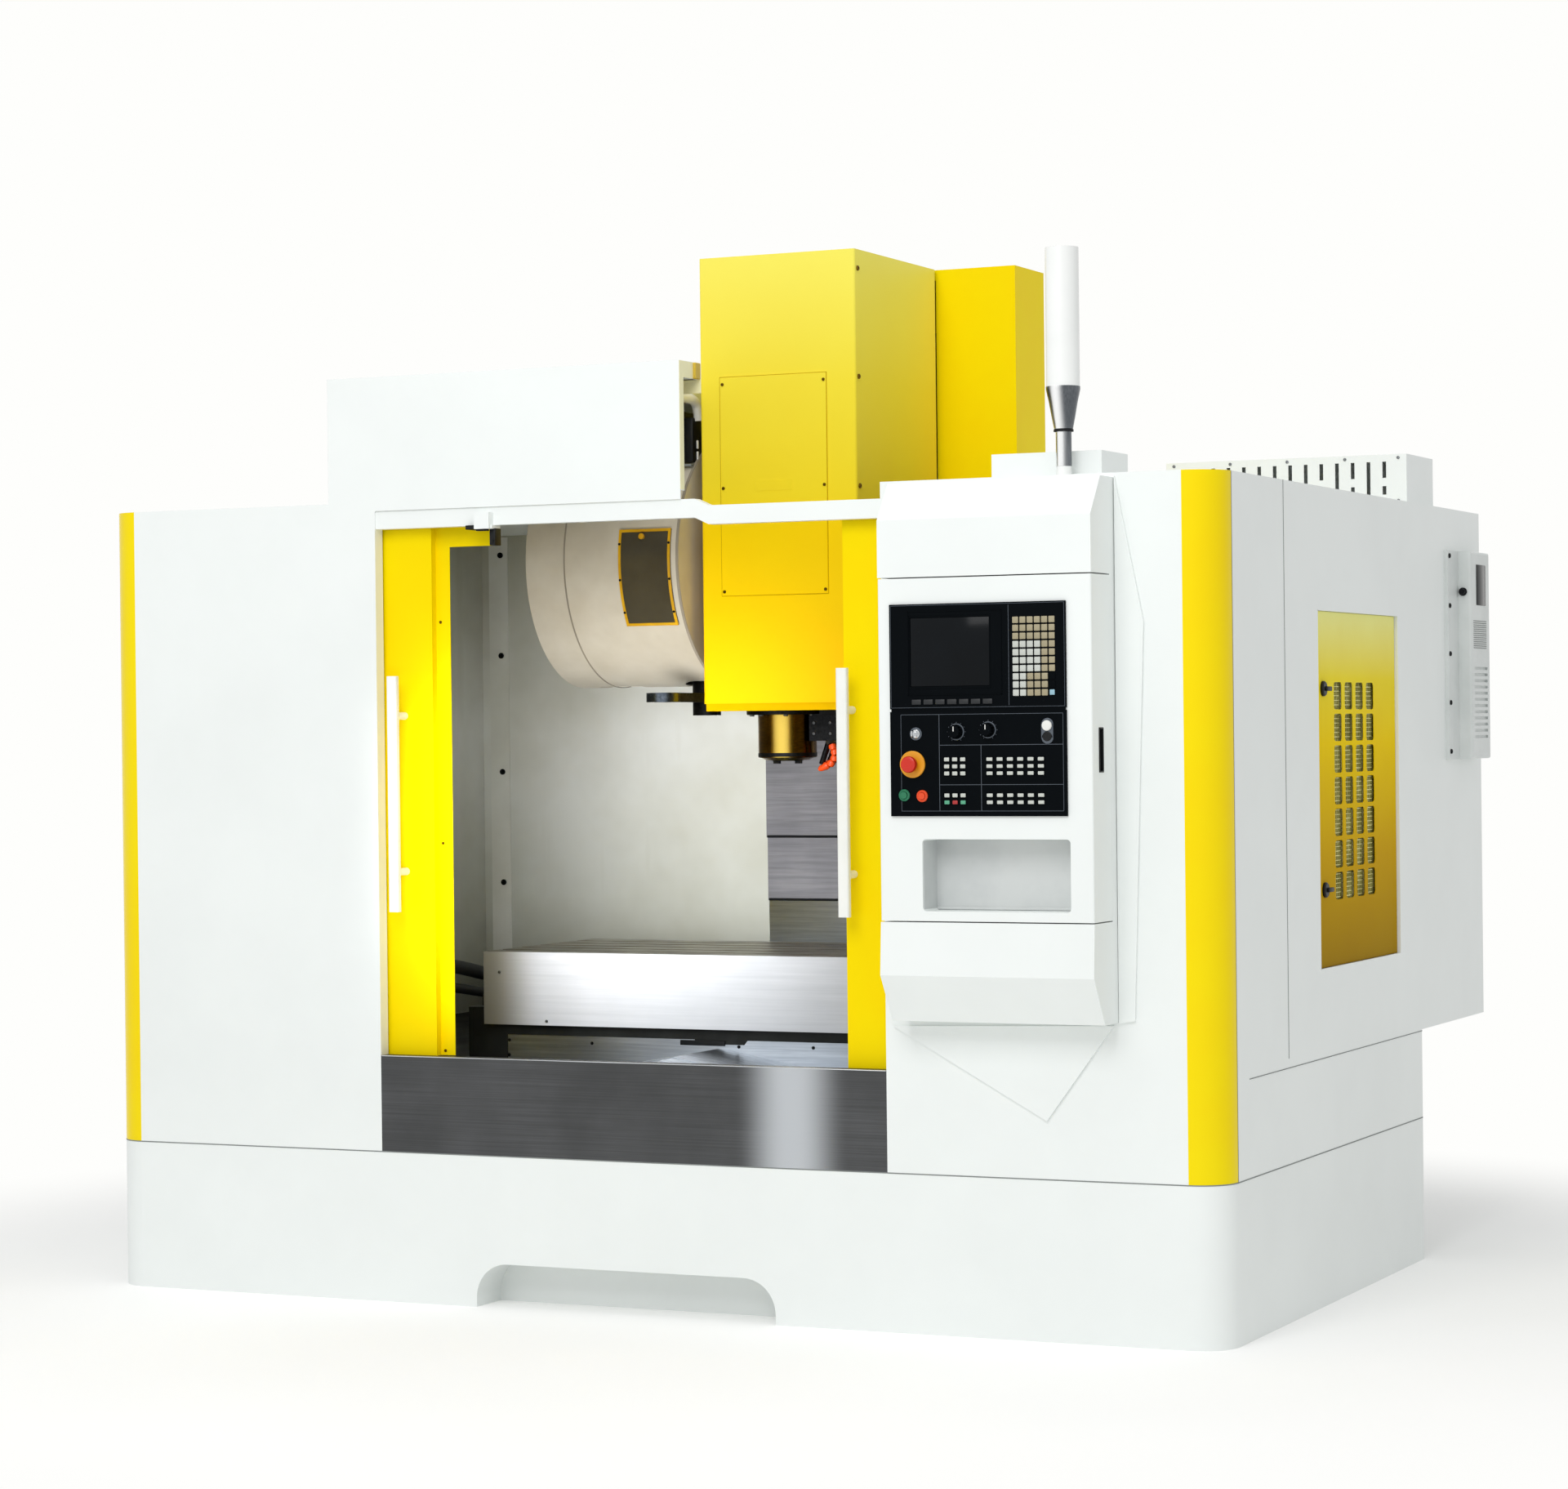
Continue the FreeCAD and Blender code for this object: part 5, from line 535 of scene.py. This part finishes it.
# Coolant nozzles ----------
# Black block under the head cover with two hexagon unions and jointed orange plastic nozzles that
# point at the tool.
paint_on(black_steel, "coolant_nozzles")
orange_plastic = moulded("orange nozzle plastic", "#E8511D", "#D24312", roughness=0.35)
nozzles = bmesh.new()
lean = Vector((sin(radians(20)), 0, -cos(radians(20))))
for depth, turns in ((-24, (0, 0, 25, 30, 30)), (24, (0, 15, 35, 35))):
    way, spot = lean.copy(), Vector((141, depth, 1476)) + lean * 8
    for angle in turns:
        way.rotate(Matrix.Rotation(radians(angle), 3, "Y"))
        spot += way * 16.5
        turned(nozzles, spot, way, [(8.2, -8), (10.2, -6), (11.4, 0), (10.2, 6), (8.2, 8)], steps=20)
    turned(nozzles, spot + way * 5, way, [(8.2, 0), (9.6, 1), (8.6, 12), (5.2, 20), (3.4, 20), (3.4, 12),
        (0, 12)], steps=20)
ridden("nozzle_tips", nozzles, orange_plastic, "head")
unions = bmesh.new()
for depth in (-24, 24):
    turned(unions, Vector((141, depth, 1476)) + lean * 2, lean, [(8.2, 0), (14, 0), (15, 1.5), (15, 10),
        (14, 11.5), (8.2, 11.5)], steps=6)
for height in (1490, 1520):
    for across in (100, 150):
        screw(unions, (across, -40, height), to_front)
ridden("nozzle_unions", unions, drive_steel, "head")


# Tool drum ----------------
# Warm grey painted sheet drum over the ring of pots. A beaded seam runs round it, its rim has an
# edge strip, and its smoked window sits in a screwed brass-yellow frame with a turn knob.
drum_coat = powder_coat("warm grey drum paint", "#D6CFBF", "#C3BAA7", roughness=0.42, cloud=0.3, gloss=0.25)
paint_on(drum_coat, "drum_cover")
seams = bmesh.new()
drum_axle = Vector((0, 80, 1978))
for across, width, rise in ((-560, 5, 1.4), (-209, 9, 2.0)):
    turned(seams, drum_axle + Vector((across, 0, 0)), to_right, [(349, 0), (350 + rise, 0.6),
        (350 + rise, width - 0.6), (349, width)], sweep=250, outward=(0, 0.5, 0.87), steps=96)
ridden("drum_seams", seams, powder_coat("shaded seam paint", "#A49B8B", "#8D8475", gloss=0.25))
pot_plastic = moulded("grey pot plastic", "#50545A", "#43474D")
paint_on(pot_plastic, "tool_disc", "change_pot")


def glazing(name, tint, shade, see_through, roughness=0.05, gloss=0.5):
    """A tinted pane: a clear share of light passes straight, and the rest meets its glossy face."""
    material, shader = shaded(name)
    haze = add(material, "TexNoise", {"Vector": object_place(material), "Scale": 9.0, "Detail": 4.0})
    tone = add(material, "Mix", {0: haze, 6: linear(tint), 7: linear(shade)}, data_type="RGBA")
    shader.inputs["Alpha"].default_value = 1 - see_through
    shader.inputs["Specular IOR Level"].default_value = gloss
    return surfaced(material, shader, tone.outputs[2], haze, roughness, roughness + 0.05)


smoked_pane = glazing("smoked drum pane", "#38332A", "#565040", 0.05)
paint_on(smoked_pane, "drum_window")


def drum_way(angle):
    """The way outward from the drum's axle, at an angle in degrees above its front."""
    return Vector((0, -cos(radians(angle)), sin(radians(angle))))


# The frame's two sides follow the drum's round, between the angles of the window's lower and upper edge.
brass_coat = powder_coat("brass-yellow frame coat", "#DFAA12", "#C8940C", roughness=0.35, cloud=0.1)
window_frame = bmesh.new()
pane_low, pane_high = (1000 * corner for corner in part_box("drum_window"))
frame_radius = drum_axle.y - pane_low.y
low_angle, high_angle = -30.2, 13.0
for across in (pane_low.x + 7, pane_high.x + 0.5):
    turned(window_frame, drum_axle + Vector((across, 0, 0)), to_left,
        [(frame_radius - 1, 0), (frame_radius + 2, 0), (frame_radius + 2, 7.5), (frame_radius - 1, 7.5)],
        sweep=high_angle - low_angle, outward=drum_way(low_angle), steps=24)
for angle in (low_angle, high_angle):
    middle = drum_axle + (frame_radius + 0.5) * drum_way(angle)
    cuboid(window_frame, (pane_low.x - 0.5, middle.y - 2.5, middle.z - 4),
        (pane_high.x + 0.5, middle.y + 4, middle.z + 4), 0.8)
ridden("window_frame", window_frame, brass_coat)
piece("window_knob", turned, [(drum_axle + frame_radius * drum_way(10) + Vector((-309, 0, 0)), drum_way(10),
    [(0, 0), (6, 0), (6, 5), (8, 6), (8.4, 8), (8.4, 12), (7, 13.4), (0, 14)], 20)], brass_coat)
drum_screws = bmesh.new()
for angle in (-24, -9, 7):
    for across in (-380, -227):
        screw(drum_screws, drum_axle + (frame_radius + 1.8) * drum_way(angle) + Vector((across, 0, 0)),
            drum_way(angle), 3.6)
for step in range(8):
    way = drum_way(160 - 45 * step)
    screw(drum_screws, drum_axle + 300 * way + Vector((-680, 0, 0)), to_left, 6)
ridden("drum_screws", drum_screws, screw_steel)


# Changer arm --------------
# Blued double gripper on a black hub, with a steel cap and screws at its middle, hanging below the
# drum's opening.
arm_steel = worked_steel("blued arm steel", "#77818E", "#3F4852", 0.3, (0.01, 0.01, 0.01), cloud=0.06)
paint_on(arm_steel, "swap_arm")
paint_on(black_steel, "arm_hub")
hub_cap = bmesh.new()
turned(hub_cap, (-270, 40, 1582), to_floor, [(0, 0), (34, 0), (36, 2), (36, 6), (22, 9), (20, 14), (0, 14)],
    steps=40)
for step in range(6):
    angle = radians(60 * step + 10)
    screw(hub_cap, (-270 + 29 * cos(angle), 40 + 29 * sin(angle), 1576.5), to_floor, 3.5)
ridden("arm_hub_cap", hub_cap, drive_steel, "swap_arm")


# Hood fittings ------------
# Under the hood beside the drum's rim: the black disc motor on a bracket, its connector, cable and
# white elbow, seen through the hood's open side. Its folded lip and edge strips are coloured cream, and
# the fold straw yellow, as painted reflection of the yellow head cover.
piece("disc_motor", cuboid, [((-325, -165, 2246), (-238, -75, 2392), 6, 2),
    *(((-328, -168, 2264 + 18 * level), (-236, -72, 2272 + 18 * level), 1.5) for level in range(7)),
    ((-240, -156, 2250), (-208, -84, 2374), 4, 2)], black_plastic)
bracket = bmesh.new()
corners = [bracket.verts.new(Vector(corner) / 1000) for corner in ((-330, -172, 2238), (-206, -172, 2238),
    (-206, -130, 2238), (-330, 150, 2238))]
bracket_face = bmesh.ops.extrude_face_region(bracket, geom=[bracket.faces.new(corners)])["geom"]
bracket_top = [part for part in bracket_face if isinstance(part, bmesh.types.BMVert)]
bmesh.ops.translate(bracket, vec=(0, 0, 0.006), verts=bracket_top)
ridden("motor_bracket", bracket, seal_rubber)
piece("hood_lip", cuboid, [((-213, -873, 2370), (171, -869.5, 2408), 0.6),
    ((162, -979.5, 2118), (163.6, -955.5, 2447.5), 0.5), ((162, -956, 2405.5), (163.6, -900, 2447.5), 0.5)],
    powder_coat("hood edge coat with painted yellow reflection", "#FFFBCF", "#FBF4BE"))
piece("hood_fold", cuboid, [((160, -900, 2405.5), (171, -869.5, 2447.5), 2)],
    powder_coat("hood fold coat with painted yellow reflection", "#D9B93A", "#C4A42C"))
white_plastic = moulded("white fitting plastic", "#F4F4F0", "#E6E6E0", roughness=0.35)
hose("motor_elbow", [(-203, -300, 2426), (-203, -215, 2425), (-203, -160, 2423), (-203, -132, 2404),
    (-203, -128, 2366)], 14, white_plastic)
piece("cable_tags", cuboid, [((-210, -133, low), (-204, -124, high), 2.5, 2)
    for low, high in ((2288, 2312), (2241, 2281))], white_plastic)
hose("motor_cable", [(-233, -150, 2424), (-233, -200, 2424), (-240, -235, 2400), (-250, -250, 2320),
    (-262, -262, 2230), (-300, -262, 2160)], 9, hose_rubber)


# Sliding doors ------------
# Two folded yellow leaves on rails, each with a clear safety pane in a black rubber gasket and a
# white bar handle; the left leaf's lap plate is screwed on.
paint_on(yellow_coat, "left_door", "right_door")
safety_pane = glazing("clear safety pane", "#DDE6E6", "#C9D3D2", 0.72)
paint_on(safety_pane, "left_window", "right_window")
handle_coat = powder_coat("white handle coat", "#FAFBF7", "#F1F2EB", roughness=0.35, cloud=0.2)
paint_on(handle_coat, "left_handle", "right_handle")
gasket_rubber = moulded("black gasket rubber", "#202224", "#181A1B", roughness=0.6, grain=0.0012)
for side, pane_left in (("left", -1237), ("right", 704)):
    piece(side + "_gasket", cuboid, [((pane_left + start, -937, low), (pane_left + end, -934, high), 1, 2)
        for start, low, end, high in ((-8, 1142, 388, 1152), (-8, 1848, 388, 1858), (-8, 1150, 2, 1850),
        (378, 1150, 388, 1850))], gasket_rubber, side + "_door")
piece("lap_screws", screw, [((-584, -911.6, height), to_front, 4) for height in (663, 1212, 1797)],
    browned_screw, "left_door")


# Console door fittings ----
# A black moulded grip in the slot of the console door's right side, and a sheet lining of the keyboard
# niche with a bent lip along its lower edge, coloured light grey as painted shade of the recess.
piece("console_grip", cuboid, [*(((1318, low[0], low[1]), (1337, high[0], high[1]), 1.2, 2)
    for low, high in (((-1103, 1392), (-1073, 1396)), ((-1103, 1496), (-1073, 1500)),
    ((-1103, 1394), (-1099, 1498)), ((-1077, 1394), (-1073, 1498)))),
    ((1316, -1102, 1393), (1320, -1074, 1499), 1)], black_plastic, "console_door")
lining = powder_coat("niche coat with painted shade", "#D5D8D7", "#C6CACA", roughness=0.45, cloud=0.2)
piece("niche_lining", cuboid, [((893, -1059.4, 1059), (1275, -1056.4, 1232), 0.5),
    ((892.2, -1142, 1059), (893.8, -1058, 1232), 0.4), ((894, -1064, 1059), (1274, -1058, 1066), 1)], lining,
    "console_door")


# Display unit -------------
# Black moulded bezels with a sunk dark screen in a stepped frame, a row of soft keys under it, rubber
# entry keys beside it and machine keys below, all parted by thin grey printed lines.
unit_plastic = moulded("black unit plastic", "#05090D", "#030609", roughness=0.5, gloss=0.04)
paint_on(unit_plastic, "display_unit", "operator_panel")
screen_glass = glazing("dark screen glass", "#040608", "#0C1116", 0.0, roughness=0.1, gloss=0.12)
unit_face = -1151
display_low, panel_high = 1000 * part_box("display_unit")[0], 1000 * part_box("operator_panel")[1]
piece("unit_gap_strip", cuboid, [((display_low.x + 3, -1149.6, panel_high.z - 1),
    (panel_high.x - 3, -1144, display_low.z + 1), 0.4)], unit_plastic, "console_door")
piece("screen_glass", cuboid, [((868, -1149.4, 1604), (1074, -1147.4, 1770), 1, 2)], screen_glass,
    "console_door")


def border(mesh, left, low, right, high, width, proud):
    """Adds a narrow raised border round a rectangle on the units' face."""
    for start, end in (((left, low), (right, low + width)), ((left, high - width), (right, high)),
            ((left, low), (left + width, high)), ((right - width, low), (right, high))):
        cuboid(mesh, (start[0], unit_face - proud, start[1]), (end[0], unit_face + 0.5, end[1]), 0.25)


print_grey = moulded("slate grey panel print", "#565E68", "#4A525B", roughness=0.5)
piece("screen_frame", border, [(861, 1582, 1107, 1787, 2.4, 1.4), (864, 1598, 1078, 1776, 1.2, 0.8)],
    unit_plastic, "console_door")
marks = bmesh.new()
border(marks, 816, 1552, 1268, 1801, 0.9, 0.4)
border(marks, 841, 1301, 1263, 1536, 1.1, 0.4)
for left, low, right_end, high in ((1124.4, 1556, 1125.4, 1797), (941.4, 1302, 942.6, 1535),
        (1050.4, 1302, 1051.6, 1461), (942, 1460.4, 1262, 1461.6), (942, 1364.4, 1262, 1365.6)):
    cuboid(marks, (left, unit_face - 0.5, low), (right_end, unit_face + 0.2, high), 0)
feed_place, spindle_place = (987, 1493), (1070, 1497)
for across, height in (feed_place, spindle_place):
    for step in range(11):
        angle = radians(-60 + 30 * step)
        way = Vector((cos(angle), 0, sin(angle)))
        spot = Vector((across, unit_face, height)) + 23 * way
        cuboid(marks, spot - Vector((0.9, 0.5, 0.9)), spot + Vector((0.9, 0.2, 0.9)), 0.2)
ridden("panel_lines", marks, print_grey, "console_door")


def key_caps(mesh, left, low, columns, rows, column_pitch, row_pitch, width, height, inset,
        chosen=lambda *key: True):
    """Adds the rubber caps over the chosen keys of a block, inset from the keys' own edges."""
    for column in range(columns):
        for row in range(rows):
            if chosen(column, row):
                x, z = left + column * column_pitch, low + row * row_pitch
                cuboid(mesh, (x + inset, unit_face - 3.4, z + inset),
                    (x + width - inset, unit_face + 0.2, z + height - inset), 1.6, 2)


def pale_entry_key(column, row):
    """True for the pale letter and number keys of the entry block."""
    return column < 4 and 3 <= row < 7 or column < 2 and row < 3


def beige_entry_key(column, row):
    """True for the rest of the entry block, but for the three keys at the foot of its last column."""
    return not pale_entry_key(column, row) and not (column == 5 and row < 3)


pale_key = moulded("pale key rubber", "#D2D5CE", "#BDC1BA", roughness=0.55)
beige_key = moulded("beige key rubber", "#B0A688", "#978D70", roughness=0.55)
cyan_key = moulded("pale cyan key rubber", "#A2C8D6", "#8DB6C6", roughness=0.5)
red_key = moulded("red key rubber", "#B83030", "#A02424", roughness=0.5)
green_key = moulded("green key rubber", "#5DB08C", "#4C9A78", roughness=0.5)
entry_block = (1136, 1578, 6, 10, 18.6, 19.4, 15, 15)
lower_left = (953, 1316, 3, 2, 21, 17, 17, 13, 1.8)
piece("pale_keys", key_caps, [(*entry_block, -0.3, pale_entry_key), (953, 1386, 3, 3, 21, 17, 17, 13, 1.8),
    (1063, 1386, 6, 3, 26.5, 17, 20, 13, 2.2), (*lower_left, lambda column, row: row == 1),
    (1063, 1316, 6, 2, 26.5, 17, 20, 13, 2.2)], pale_key, "console_door")
piece("beige_keys", key_caps, [(*entry_block, -0.3, beige_entry_key)], beige_key, "console_door")
piece("cyan_key", key_caps, [(*entry_block, 1, lambda column, row: (column, row) == (5, 0))], cyan_key,
    "console_door")
piece("soft_keys", key_caps, [(872, 1560, 7, 1, 31, 19, 24, 12, -0.3)],
    moulded("dark soft keys", "#11151A", "#0D1115", roughness=0.5), "console_door")
piece("green_keys", key_caps, [(*lower_left, lambda column, row: row == 0 and column != 1)], green_key,
    "console_door")
piece("red_key", key_caps, [(*lower_left, lambda column, row: (column, row) == (1, 0))], red_key,
    "console_door")


# Operator panel -----------
# Moulded controls: red mushroom on a yellow collar, a green and an orange push-button in rings of
# their colour, two fluted dials with a white pointer, a chromed key switch and a capped socket.
def control(name, place, outline, material, body="console_door", flutes=0):
    """A control turned round an axis along -Y, from heights above the panel's face. One that moves by
    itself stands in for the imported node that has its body's name."""
    mesh = bmesh.new()
    centre = Vector((place[0], unit_face, place[1]))
    turned(mesh, centre, to_front, outline, steps=40)
    for step in range(flutes):
        angle = radians(360 / flutes * step)
        way = Vector((cos(angle), 0, sin(angle)))
        turned(mesh, centre + 15.4 * way, to_front, [(0, 3), (1.9, 3), (1.9, 15), (1.2, 17), (0, 17)], steps=10)
    made = ridden(name, mesh, material, body)
    if body != "console_door":
        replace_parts(made, body)


red_plastic = moulded("red mushroom plastic", "#D8290F", "#C3200A", roughness=0.28)
control("stop_mushroom", (872, 1415), [(0, -21), (8.8, -21), (8.8, 14), (15, 14), (17, 15), (20, 20), (20, 29),
    (18.6, 32), (14, 33.6), (8, 33.4), (0, 33)], red_plastic, "emergency_stop")
yellow_plastic = moulded("yellow collar plastic", "#EFA413", "#E0950B", roughness=0.35)
control("stop_collar", (872, 1415), [(10, 0), (32.8, 0), (32.8, 4), (31, 5.6), (22, 6.6), (10, 6.6), (10, 0)],
    yellow_plastic)
green_plastic = moulded("green button plastic", "#1F7B55", "#176A48", roughness=0.3)
hold_plastic = moulded("orange-red button plastic", "#F0501B", "#E24312", roughness=0.3)
buttons = (("start", (849, 1340), green_plastic, "green_plastic", "start_button"),
    ("hold", (896, 1338), hold_plastic, "orange_plastic", "stop_button"))
for name, place, material, slot, body in buttons:
    control(name + "_cap", place, [(0, -21), (8.9, -21), (8.9, 6.4), (8, 7.6), (4, 8), (0, 8)], material,
        body)
for name, place, material, slot, body in buttons:
    control(name + "_ring", place, [(9.4, 0), (14.6, 0), (14.6, 2.4), (13, 4.4), (10.2, 4.6), (9.4, 4),
        (9.4, 0)], material)
chrome = worked_steel("chromed ring steel", "#E6E8EA", "#C9CCD0", 0.14, (0.2, 0.2, 0.2), cloud=0.3)
for name, place in (("feed_knob", feed_place), ("spindle_knob", spindle_place)):
    control(name + "_dial", place, [(0, -21), (4.8, -21), (4.8, 0.4), (16.9, 0.4), (17, 2.6), (15, 3.4),
        (14.4, 18.4), (13, 19.8), (0, 20)], unit_plastic, name, flutes=14)
    piece(name + "_pointer", cuboid, [((place[0] - 1.1, -1172.3, place[1] + 1),
        (place[0] + 1.1, -1170.6, place[1] + 13), 0.4)], white_plastic, name)
    control(name + "_skirt", place, [(17.6, 0), (20.4, 0), (20.4, 0.9), (19.6, 1.4), (17.6, 1.4), (17.6, 0)],
        print_grey)
control("lock_ring", (881, 1489), [(11.4, 0), (15.6, 0), (15.6, 2), (14, 3.6), (11.4, 3.6), (11.4, 0)],
    print_grey)
lock = bmesh.new()
turned(lock, (881, unit_face, 1489), to_front, [(0, -19), (4.8, -19), (4.8, 0.3), (11, 0.3), (11, 4.6),
    (9.8, 6), (0, 6)], steps=32)
cuboid(lock, (879.7, -1172, 1484.5), (882.3, -1155, 1493.5), 0.6)
turned(lock, (881, -1172, 1489), to_right, [(2.6, -1.5), (8.4, -1.5), (9, -0.9), (9, 0.9), (8.4, 1.5),
    (2.6, 1.5), (2.6, -1.5)], steps=28)
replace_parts(ridden("lock_with_key", lock, chrome, "key_switch"), "key_switch")
socket = bmesh.new()
for height in (1477, 1509):
    turned(socket, (1223, unit_face, height), to_front, [(0, -0.5), (15, -0.5), (15, 2.4), (13.6, 3.6),
        (0, 3.6)], steps=36)
cuboid(socket, (1208, -1154.6, 1477), (1238, -1150.6, 1509), 0)
ridden("socket_plate", socket, print_grey, "console_door")
control("socket_cap", (1223, 1506), [(0, 3), (12, 3), (12.6, 4), (12.6, 7), (11, 9), (5, 10), (0, 10)],
    white_plastic)
control("socket_hole", (1223, 1480), [(0, 3.8), (11.6, 3.8), (11.6, 4.6), (10, 5), (9, 4.2), (0, 4.2)],
    black_plastic)


# Service leaf -------------
# Folded steel leaf with 28 rounded openings in a yellow coat, painted pale at the top and golden brown
# at the foot as a painted reflection, with an olive wire filter behind the openings and two black turn latches.
leaf_coat_with_painted_reflection = powder_coat("yellow leaf coat with painted reflection", "#FFFFFF", "#FAF6EA", roughness=0.5, cloud=0.5, gloss=0.02,
    levels=((0.87, "#A88400"), (1.15, "#D6AA00"), (1.45, "#FFDB00"), (1.62, "#FFEA3A"), (1.8, "#FFFFA8")))
leaf = bmesh.new()
leaf_low, leaf_high = Vector((1573, -192, 870)), Vector((1591, 542, 1794))
rim = [leaf.verts.new(Vector((leaf_high.x, across, height)) / 1000)
    for across, height in ((leaf_low.y, leaf_low.z), (leaf_high.y, leaf_low.z), (leaf_high.y, leaf_high.z),
    (leaf_low.y, leaf_high.z))]
for first, second in zip(rim, rim[1:] + rim[:1]):
    leaf.edges.new((first, second))
for column in range(4):
    for row in range(7):
        loop = bmesh.ops.create_circle(leaf, segments=20, radius=0.012,
            matrix=Matrix.Rotation(radians(9), 4, "X") @ Matrix.Rotation(radians(90), 4, "Y"))["verts"]
        for corner in loop:
            corner.co.y += 0.008 + 0.098 * column + (0.024 if corner.co.y > 1e-5 else -0.024)
            corner.co.z += 1.077 + 0.083 * row + (0.024 if corner.co.z > 1e-5 else -0.024)
            corner.co.x += leaf_high.x / 1000
bmesh.ops.triangle_fill(leaf, use_beauty=True, use_dissolve=False, edges=leaf.edges[:], normal=to_right)
bmesh.ops.recalc_face_normals(leaf, faces=leaf.faces[:])
bmesh.ops.solidify(leaf, geom=leaf.faces[:], thickness=0.002)
for low, high in (((-192, 870), (-190, 1794)), ((540, 870), (542, 1794)), ((-192, 870), (542, 872)),
        ((-192, 1792), (542, 1794))):
    cuboid(leaf, (1573, low[0], low[1]), (1590.5, high[0], high[1]), 0.4)
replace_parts(ridden("slotted_leaf", leaf, leaf_coat_with_painted_reflection, "vent_door"), "vent_door")
mesh_wire = worked_steel("olive filter wire", "#E2E0A8", "#A8A45C", 0.45, (0.01, 0.01, 0.01), cloud=0.08)
piece("filter_mesh", cuboid, [((1577, -40, 1030), (1580, 352, 1622), 1),
    *(((1580.5, -38 + 12 * step, 1032), (1583, -35.6 + 12 * step, 1620), 0) for step in range(33)),
    *(((1582.6, -38, 1034 + 12 * step), (1585, 350, 1036.4 + 12 * step), 0) for step in range(49))], mesh_wire,
    "vent_door")
latches = bmesh.new()
for height in (1071, 1593):
    turned(latches, (1590.6, -128, height), to_right, [(0, 0), (19.6, 0), (20, 1), (20, 6), (17, 9), (0, 9.4)],
        steps=36)
    cuboid(latches, (1598, -132, height - 6), (1606, -88, height + 6), 2.5, 2)
ridden("leaf_latches", latches, black_plastic, "vent_door")
# The opening's white edge leaves the hinge side free, where the leaf turns through.
piece("leaf_opening_edge", cuboid, [((1594, low[0], low[1]), (1600.6, high[0], high[1]), 0.5)
    for low, high in (((-195, 867), (545, 869.4)), ((-195, 1794.6), (545, 1797)),
    ((-195, 867), (-192.6, 1797)))], white_coat)


# Cabinet cooler -----------
# Light grey flat unit screwed to the side by its flange, with a black display behind glass, a turn
# knob and a fine louvre.
cooler_coat = powder_coat("light grey cooler coat", "#E3E7E5", "#D5DAD8", roughness=0.4, cloud=0.2)
paint_on(cooler_coat, "cooler_unit")
cooler_screws = bmesh.new()
for height in (1418, 1558, 1698, 1836, 1979):
    screw(cooler_screws, (1612, 1043, height), to_right, 7)
turned(cooler_screws, (1626, 1140, 1878), to_front, [(0, 0), (12, 0), (12, 4), (9, 6), (8, 16), (0, 16)],
    steps=24)
ridden("cooler_screws", cooler_screws, screw_steel)
piece("cooler_display", cuboid, [((1648, 1196, 1840), (1652, 1296, 1958), 1.8, 2)], screen_glass)
piece("cooler_louvre", cuboid, [((1649, 1162, 1715 + 6 * step), (1651.4, 1302, 1717.4 + 6 * step), 0.5)
    for step in range(14)], seal_rubber)


# Roof fittings ------------
# Milky signal lamp on a chromed cone and pole that stand in a dark foot ring, and the screwed foot
# flange of the vent box. The chrome carries one upright painted highlight.
milky = moulded("milky lamp plastic", "#FAFBF9", "#F2F4F2", roughness=0.25)
paint_on(milky, "signal_lamp")
stand_chrome = worked_steel("chromed stand steel with painted highlight", "#85898E", "#53575C", 0.2, (0.002, 0.002, 0.05),
    painted_reflection=("#FAFBFC", 1.124, 0.026))
piece("lamp_stand", turned, [((1131, -780, 2240), to_roof, [(18, 0), (20, 0), (23.6, 3), (30, 36), (36, 70),
    (42.8, 101), (42.8, 108), (41, 109), (18, 2), (18, 0)], 48), ((1131, -780, 2150), to_roof,
    [(18, 0), (19.8, 0), (19.8, 88), (18, 90), (18, 0)], 40)], stand_chrome)
piece("lamp_rings", turned, [((1131, -780, 2116), to_roof, [(34, 0), (37, 0), (37, 5), (35.6, 7), (34, 7),
    (34, 0)], 48), ((1131, -780, 2236), to_roof, [(18, 0), (25, 0), (25, 5), (23, 7), (18, 7), (18, 0)], 48)],
    black_steel)
piece("roof_screws", screw, [*(((across, 798, height), to_front) for across in (870, 1040, 1210, 1380, 1535)
    for height in (2128, 2249)), *(((across, -740, 2128), to_front) for across in (940, 1068, 1196))],
    drive_steel)


# Electrical cabinet -------
# White cabinet at the rear right. Its double door shows as two sheets a few millimetres proud, with
# hinges, black swing handles and a louvred plate below.
piece("cabinet_doors", cuboid, [((left, 1416, 680), (right_edge, 1424, 2080), 2.5, 2)
    for left, right_edge in ((572, 1066), (1072, 1568))], white_coat)
furniture = bmesh.new()
for across in (1046, 1092):
    cuboid(furniture, (across - 9, 1422, 1340), (across + 9, 1427, 1500), 2, 2)
    cuboid(furniture, (across - 6, 1426, 1352), (across + 6, 1435, 1470), 3, 2)
for across in (579, 1561):
    for height in (780, 1380, 1960):
        cuboid(furniture, (across - 9, 1419, height - 35), (across + 9, 1430, height + 35), 3, 2)
for step in range(12):
    cuboid(furniture, (700, 1422, 760 + 14 * step), (940, 1426, 765 + 14 * step), 1)
ridden("cabinet_furniture", furniture, black_plastic)


# Left side door -----------
# Service door in the left side panel: a white steel sheet with eased edges, two black turn latches
# and a block of black louvres.
piece("left_side_door", cuboid, [((-1606, -160, 860), (-1598, 520, 1800), 2.5, 2)], white_coat)
side_fittings = bmesh.new()
for height in (1080, 1580):
    turned(side_fittings, (-1605.6, -110, height), to_left, [(0, 0), (22, 0), (22, 3), (20, 5), (0, 5)],
        steps=30)
    cuboid(side_fittings, (-1614, -115, height - 16), (-1609, -105, height + 16), 1.5, 2)
for step in range(14):
    cuboid(side_fittings, (-1608.5, 40, 1240 + 14 * step), (-1605, 400, 1245 + 14 * step), 1)
ridden("left_side_fittings", side_fittings, black_plastic)
